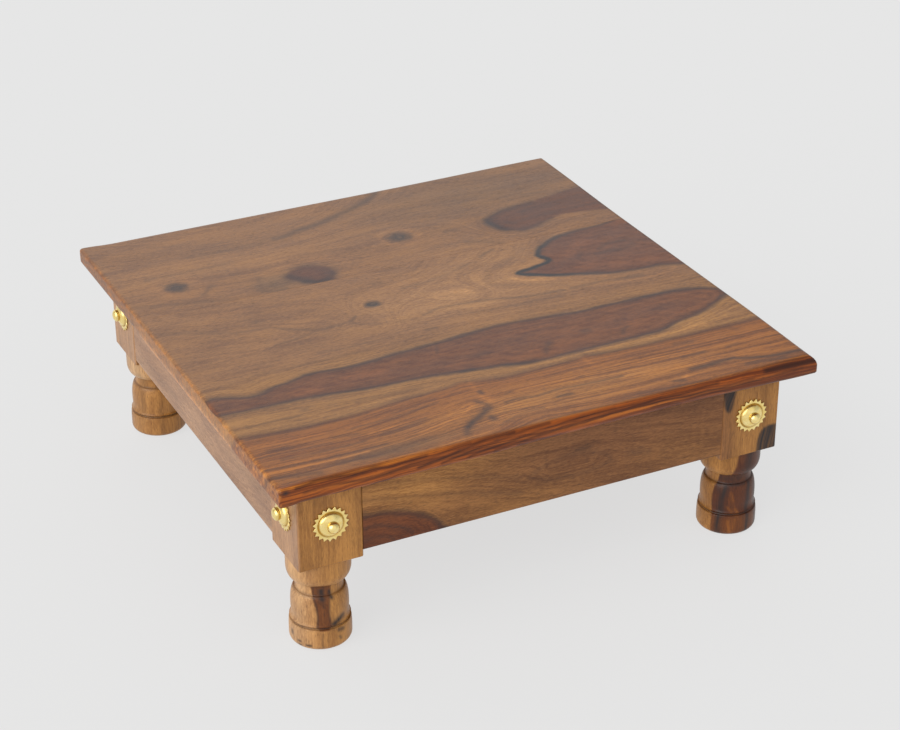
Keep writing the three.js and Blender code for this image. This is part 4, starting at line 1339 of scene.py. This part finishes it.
def rosette_shell():
    """Closed shell as loops round the bore: out over the front, round the toothed rim, back underneath.

    The rim's radius is a sharp wave of the angle, 19 times round; inner rows take less and less of it.
    """
    columns = TEETH * TOOTH_COLUMNS
    angle = np.arange(columns) * 2 * math.pi / columns
    wave = np.abs(np.mod(angle * TEETH / (2 * math.pi), 1) * 2 - 1)
    tooth = TOOTH_DEPTH * (1 - wave ** TOOTH_SHARPNESS)
    even = np.ones(columns)
    front = [
        BORE_RADIUS, 2.2, 3, 4, 5, 5.8, 6.5, 7.1, 7.6, 7.9, 8.1, 8.25, DOME_RADIUS, 8.6, 8.8, 9.0, 9.3, 9.7,
        TEETH_START,
    ]
    rows = [
        (radius * even, rosette_front(radius) * even, math.exp(-((radius - 8.5) / 0.6) ** 2) * even)
        for radius in front
    ]
    for t in np.linspace(0, 1, 6)[1:]:
        edge = TEETH_START + (ROSETTE_RADIUS - tooth - TEETH_START) * t
        rows.append((edge, PLATE * (1 - 0.3 * t ** 4) * even, 0.25 * t * (tooth / TOOTH_DEPTH)))
    rows += [(ROSETTE_RADIUS - tooth, height * even, 0.6 * even) for height in (0.25, 0.0)]
    rows += [(radius * even, 0 * even, 0.8 * even) for radius in (9.5, 5.0, BORE_RADIUS)]
    radius, height, hollow = (np.stack(part) for part in zip(*rows))
    return ring_points(radius, height, angle), relief(hollow)


def nail_shell(head_radius, head_rise):
    """A lathed nail: a domed head that cups the dome below it, and a shank that ends in a point."""
    profile = [
        *[(head_radius * math.sin(a), head_rise * math.cos(a)) for a in np.linspace(0, QUARTER, 12)],
        (head_radius - 0.08, -0.35), (head_radius - 0.25, -0.7), (3.5, -0.55), (2.5, -0.1),
        (SHANK_RADIUS, -0.05), (SHANK_RADIUS, -8), (SHANK_RADIUS, -15.5), (0.5, -17.5), (0, -18.6),
    ]
    angle = np.arange(NAIL_COLUMNS) * 2 * math.pi / NAIL_COLUMNS
    radius, height = np.array(profile).T[:, :, None]
    grid = ring_points(radius, height, angle)
    return grid, relief(np.broadcast_to(0.3 * smooth_step(radius, 3.4, 4.0), grid.shape[:2]))


def onto_face(grid, node, side, stand_off):
    """Stands a piece drawn facing +z on a head block's face: turned outwards, on the node's middle line."""
    low, high = node_box(node)
    outward = turned_about_z(np.array([0.0, -1.0, 0.0]), side)
    sideways = turned_about_z(np.array([1.0, 0.0, 0.0]), side)
    middle = (low + high) / 2
    base = (low if outward.sum() > 0 else high) * np.abs(outward)
    start = middle * (1 - np.abs(outward)) + base + outward * stand_off
    x, y, z = (grid[..., axis, None] for axis in range(3))
    return start + x * sideways + y * np.array([0.0, 0.0, 1.0]) + z * outward


def make_brass(brass):
    """A rosette and its nail on each outer face of each head block; the left nails were hammered flatter."""
    rosette, rosette_relief = rosette_shell()
    for side, side_name in enumerate(SIDES):
        nail, nail_relief = nail_shell(*(LEFT_NAIL_HEAD if side_name == "left" else NAIL_HEAD))
        for corner in (CORNERS[side], CORNERS[(side + 1) % 4]):
            node = f"rosette_{corner}_{side_name}_face"
            grid = onto_face(rosette, node, side, 0)
            dress(node, "_pressed", grid, rosette_relief, brass, loop_rows=True)
            node = f"nail_{corner}_{side_name}_face"
            low, high = node_box(node)
            length = abs((high - low)[1 - side % 2])
            grid = onto_face(nail, node, side, length - NAIL_HEAD[1])
            dress(node, "_domed", grid, nail_relief, brass)


def finish_hidden_parts():
    """Braces and screws keep their CAD shape and get their own finishes."""
    bare_wood, steel = bare_wood_finish(), steel_finish()
    for corner in CORNERS:
        for node, material in (
            ("brace_" + corner, bare_wood),
            ("leg_screw_" + corner, steel),
            (f"top_screw_{corner}_1", steel),
            (f"top_screw_{corner}_2", steel),
        ):
            for slot in bpy.data.objects[node].material_slots:
                slot.material = material


# Studio: half the floor's side is in metres

FLOOR_HALF = 9.0


def make_floor():
    """Pale level paper under the table, with a glow of its own so that shadows stay light."""
    mesh = bpy.data.meshes.new("studio_floor")
    corners = [(x * FLOOR_HALF, y * FLOOR_HALF, 0) for x, y in ((-1, -1), (1, -1), (1, 1), (-1, 1))]
    mesh.from_pydata(corners, [], [(0, 1, 2, 3)])
    floor = into_scene("studio_floor", mesh)
    finish = Finish("pale_paper", {
        "Roughness": 0.9,
        "Specular IOR Level": 0.0,
        "Emission Color": (1.0, 1.0, 1.0, 1),
        "Emission Strength": 0.665,
    })
    grain = finish.noise(finish.coordinates(), scale=3, detail=2)
    shade = finish.mixed(grain, (0.121, 0.120, 0.119), (0.125, 0.124, 0.123))
    finish.give("Base Color", shade)
    mesh.materials.append(finish.material)


def make_lights():
    """Pale surroundings, a broad soft key from the left, a low fill from the front and a rim from behind."""
    world = bpy.data.worlds.new("pale_surroundings")
    world.use_nodes = True
    sky = world.node_tree.nodes["Background"]
    sky.inputs["Color"].default_value = (0.94, 0.97, 1.0, 1)
    sky.inputs["Strength"].default_value = 0.55
    bpy.context.scene.world = world
    for name, strength, spread, azimuth, elevation, colour in (
        ("key_softbox", 2.2, 60, 200, 32, (1.0, 0.97, 0.92)),
        ("front_softbox", 0.5, 80, 262, 15, (1.0, 0.97, 0.93)),
        ("back_softbox", 0.65, 70, 92, 28, (0.90, 0.95, 1.0)),
    ):
        light = bpy.data.lights.new(name, "SUN")
        light.energy = strength
        light.angle = math.radians(spread)
        light.color = colour
        lamp = into_scene(name, light)
        lamp.rotation_euler = (QUARTER - math.radians(elevation), 0, math.radians(azimuth) + QUARTER)


# The camera's place in millimetres, its turn to the right, dip and roll, and its lens
CAMERA_PLACE = (-587.8, -1226.7, 804.9)
CAMERA_TURN = math.radians(25.954)
CAMERA_DIP = math.radians(27.959)
CAMERA_ROLL = math.radians(-0.325)
CAMERA_LENS = 87.864
CAMERA_SENSOR = 36
CAMERA_SHIFT = (0.0084, 0.0039)


def make_camera():
    """The photographer's place: in front, a little to the left and above, with a long lens."""
    data = bpy.data.cameras.new("photographer")
    data.lens = CAMERA_LENS
    data.sensor_width = CAMERA_SENSOR
    data.shift_x, data.shift_y = CAMERA_SHIFT
    data.clip_end = 60
    turn, dip, roll = CAMERA_TURN, CAMERA_DIP, CAMERA_ROLL
    forward = np.array([math.sin(turn) * math.cos(dip), math.cos(turn) * math.cos(dip), -math.sin(dip)])
    level_right = np.array([math.cos(turn), -math.sin(turn), 0.0])
    level_up = np.cross(level_right, forward)
    right = math.cos(roll) * level_right + math.sin(roll) * level_up
    up = math.cos(roll) * level_up - math.sin(roll) * level_right
    columns = np.column_stack([right, up, -forward, np.array(CAMERA_PLACE) * MM])
    camera = into_scene("photographer", data)
    camera.matrix_world = Matrix([*columns.tolist(), [0, 0, 0, 1]])
    bpy.context.scene.camera = camera


make_boards()
make_aprons()
make_legs()
make_brass(brass_finish())
finish_hidden_parts()
make_floor()
make_lights()
make_camera()
bpy.context.scene.view_settings.view_transform = "Standard"
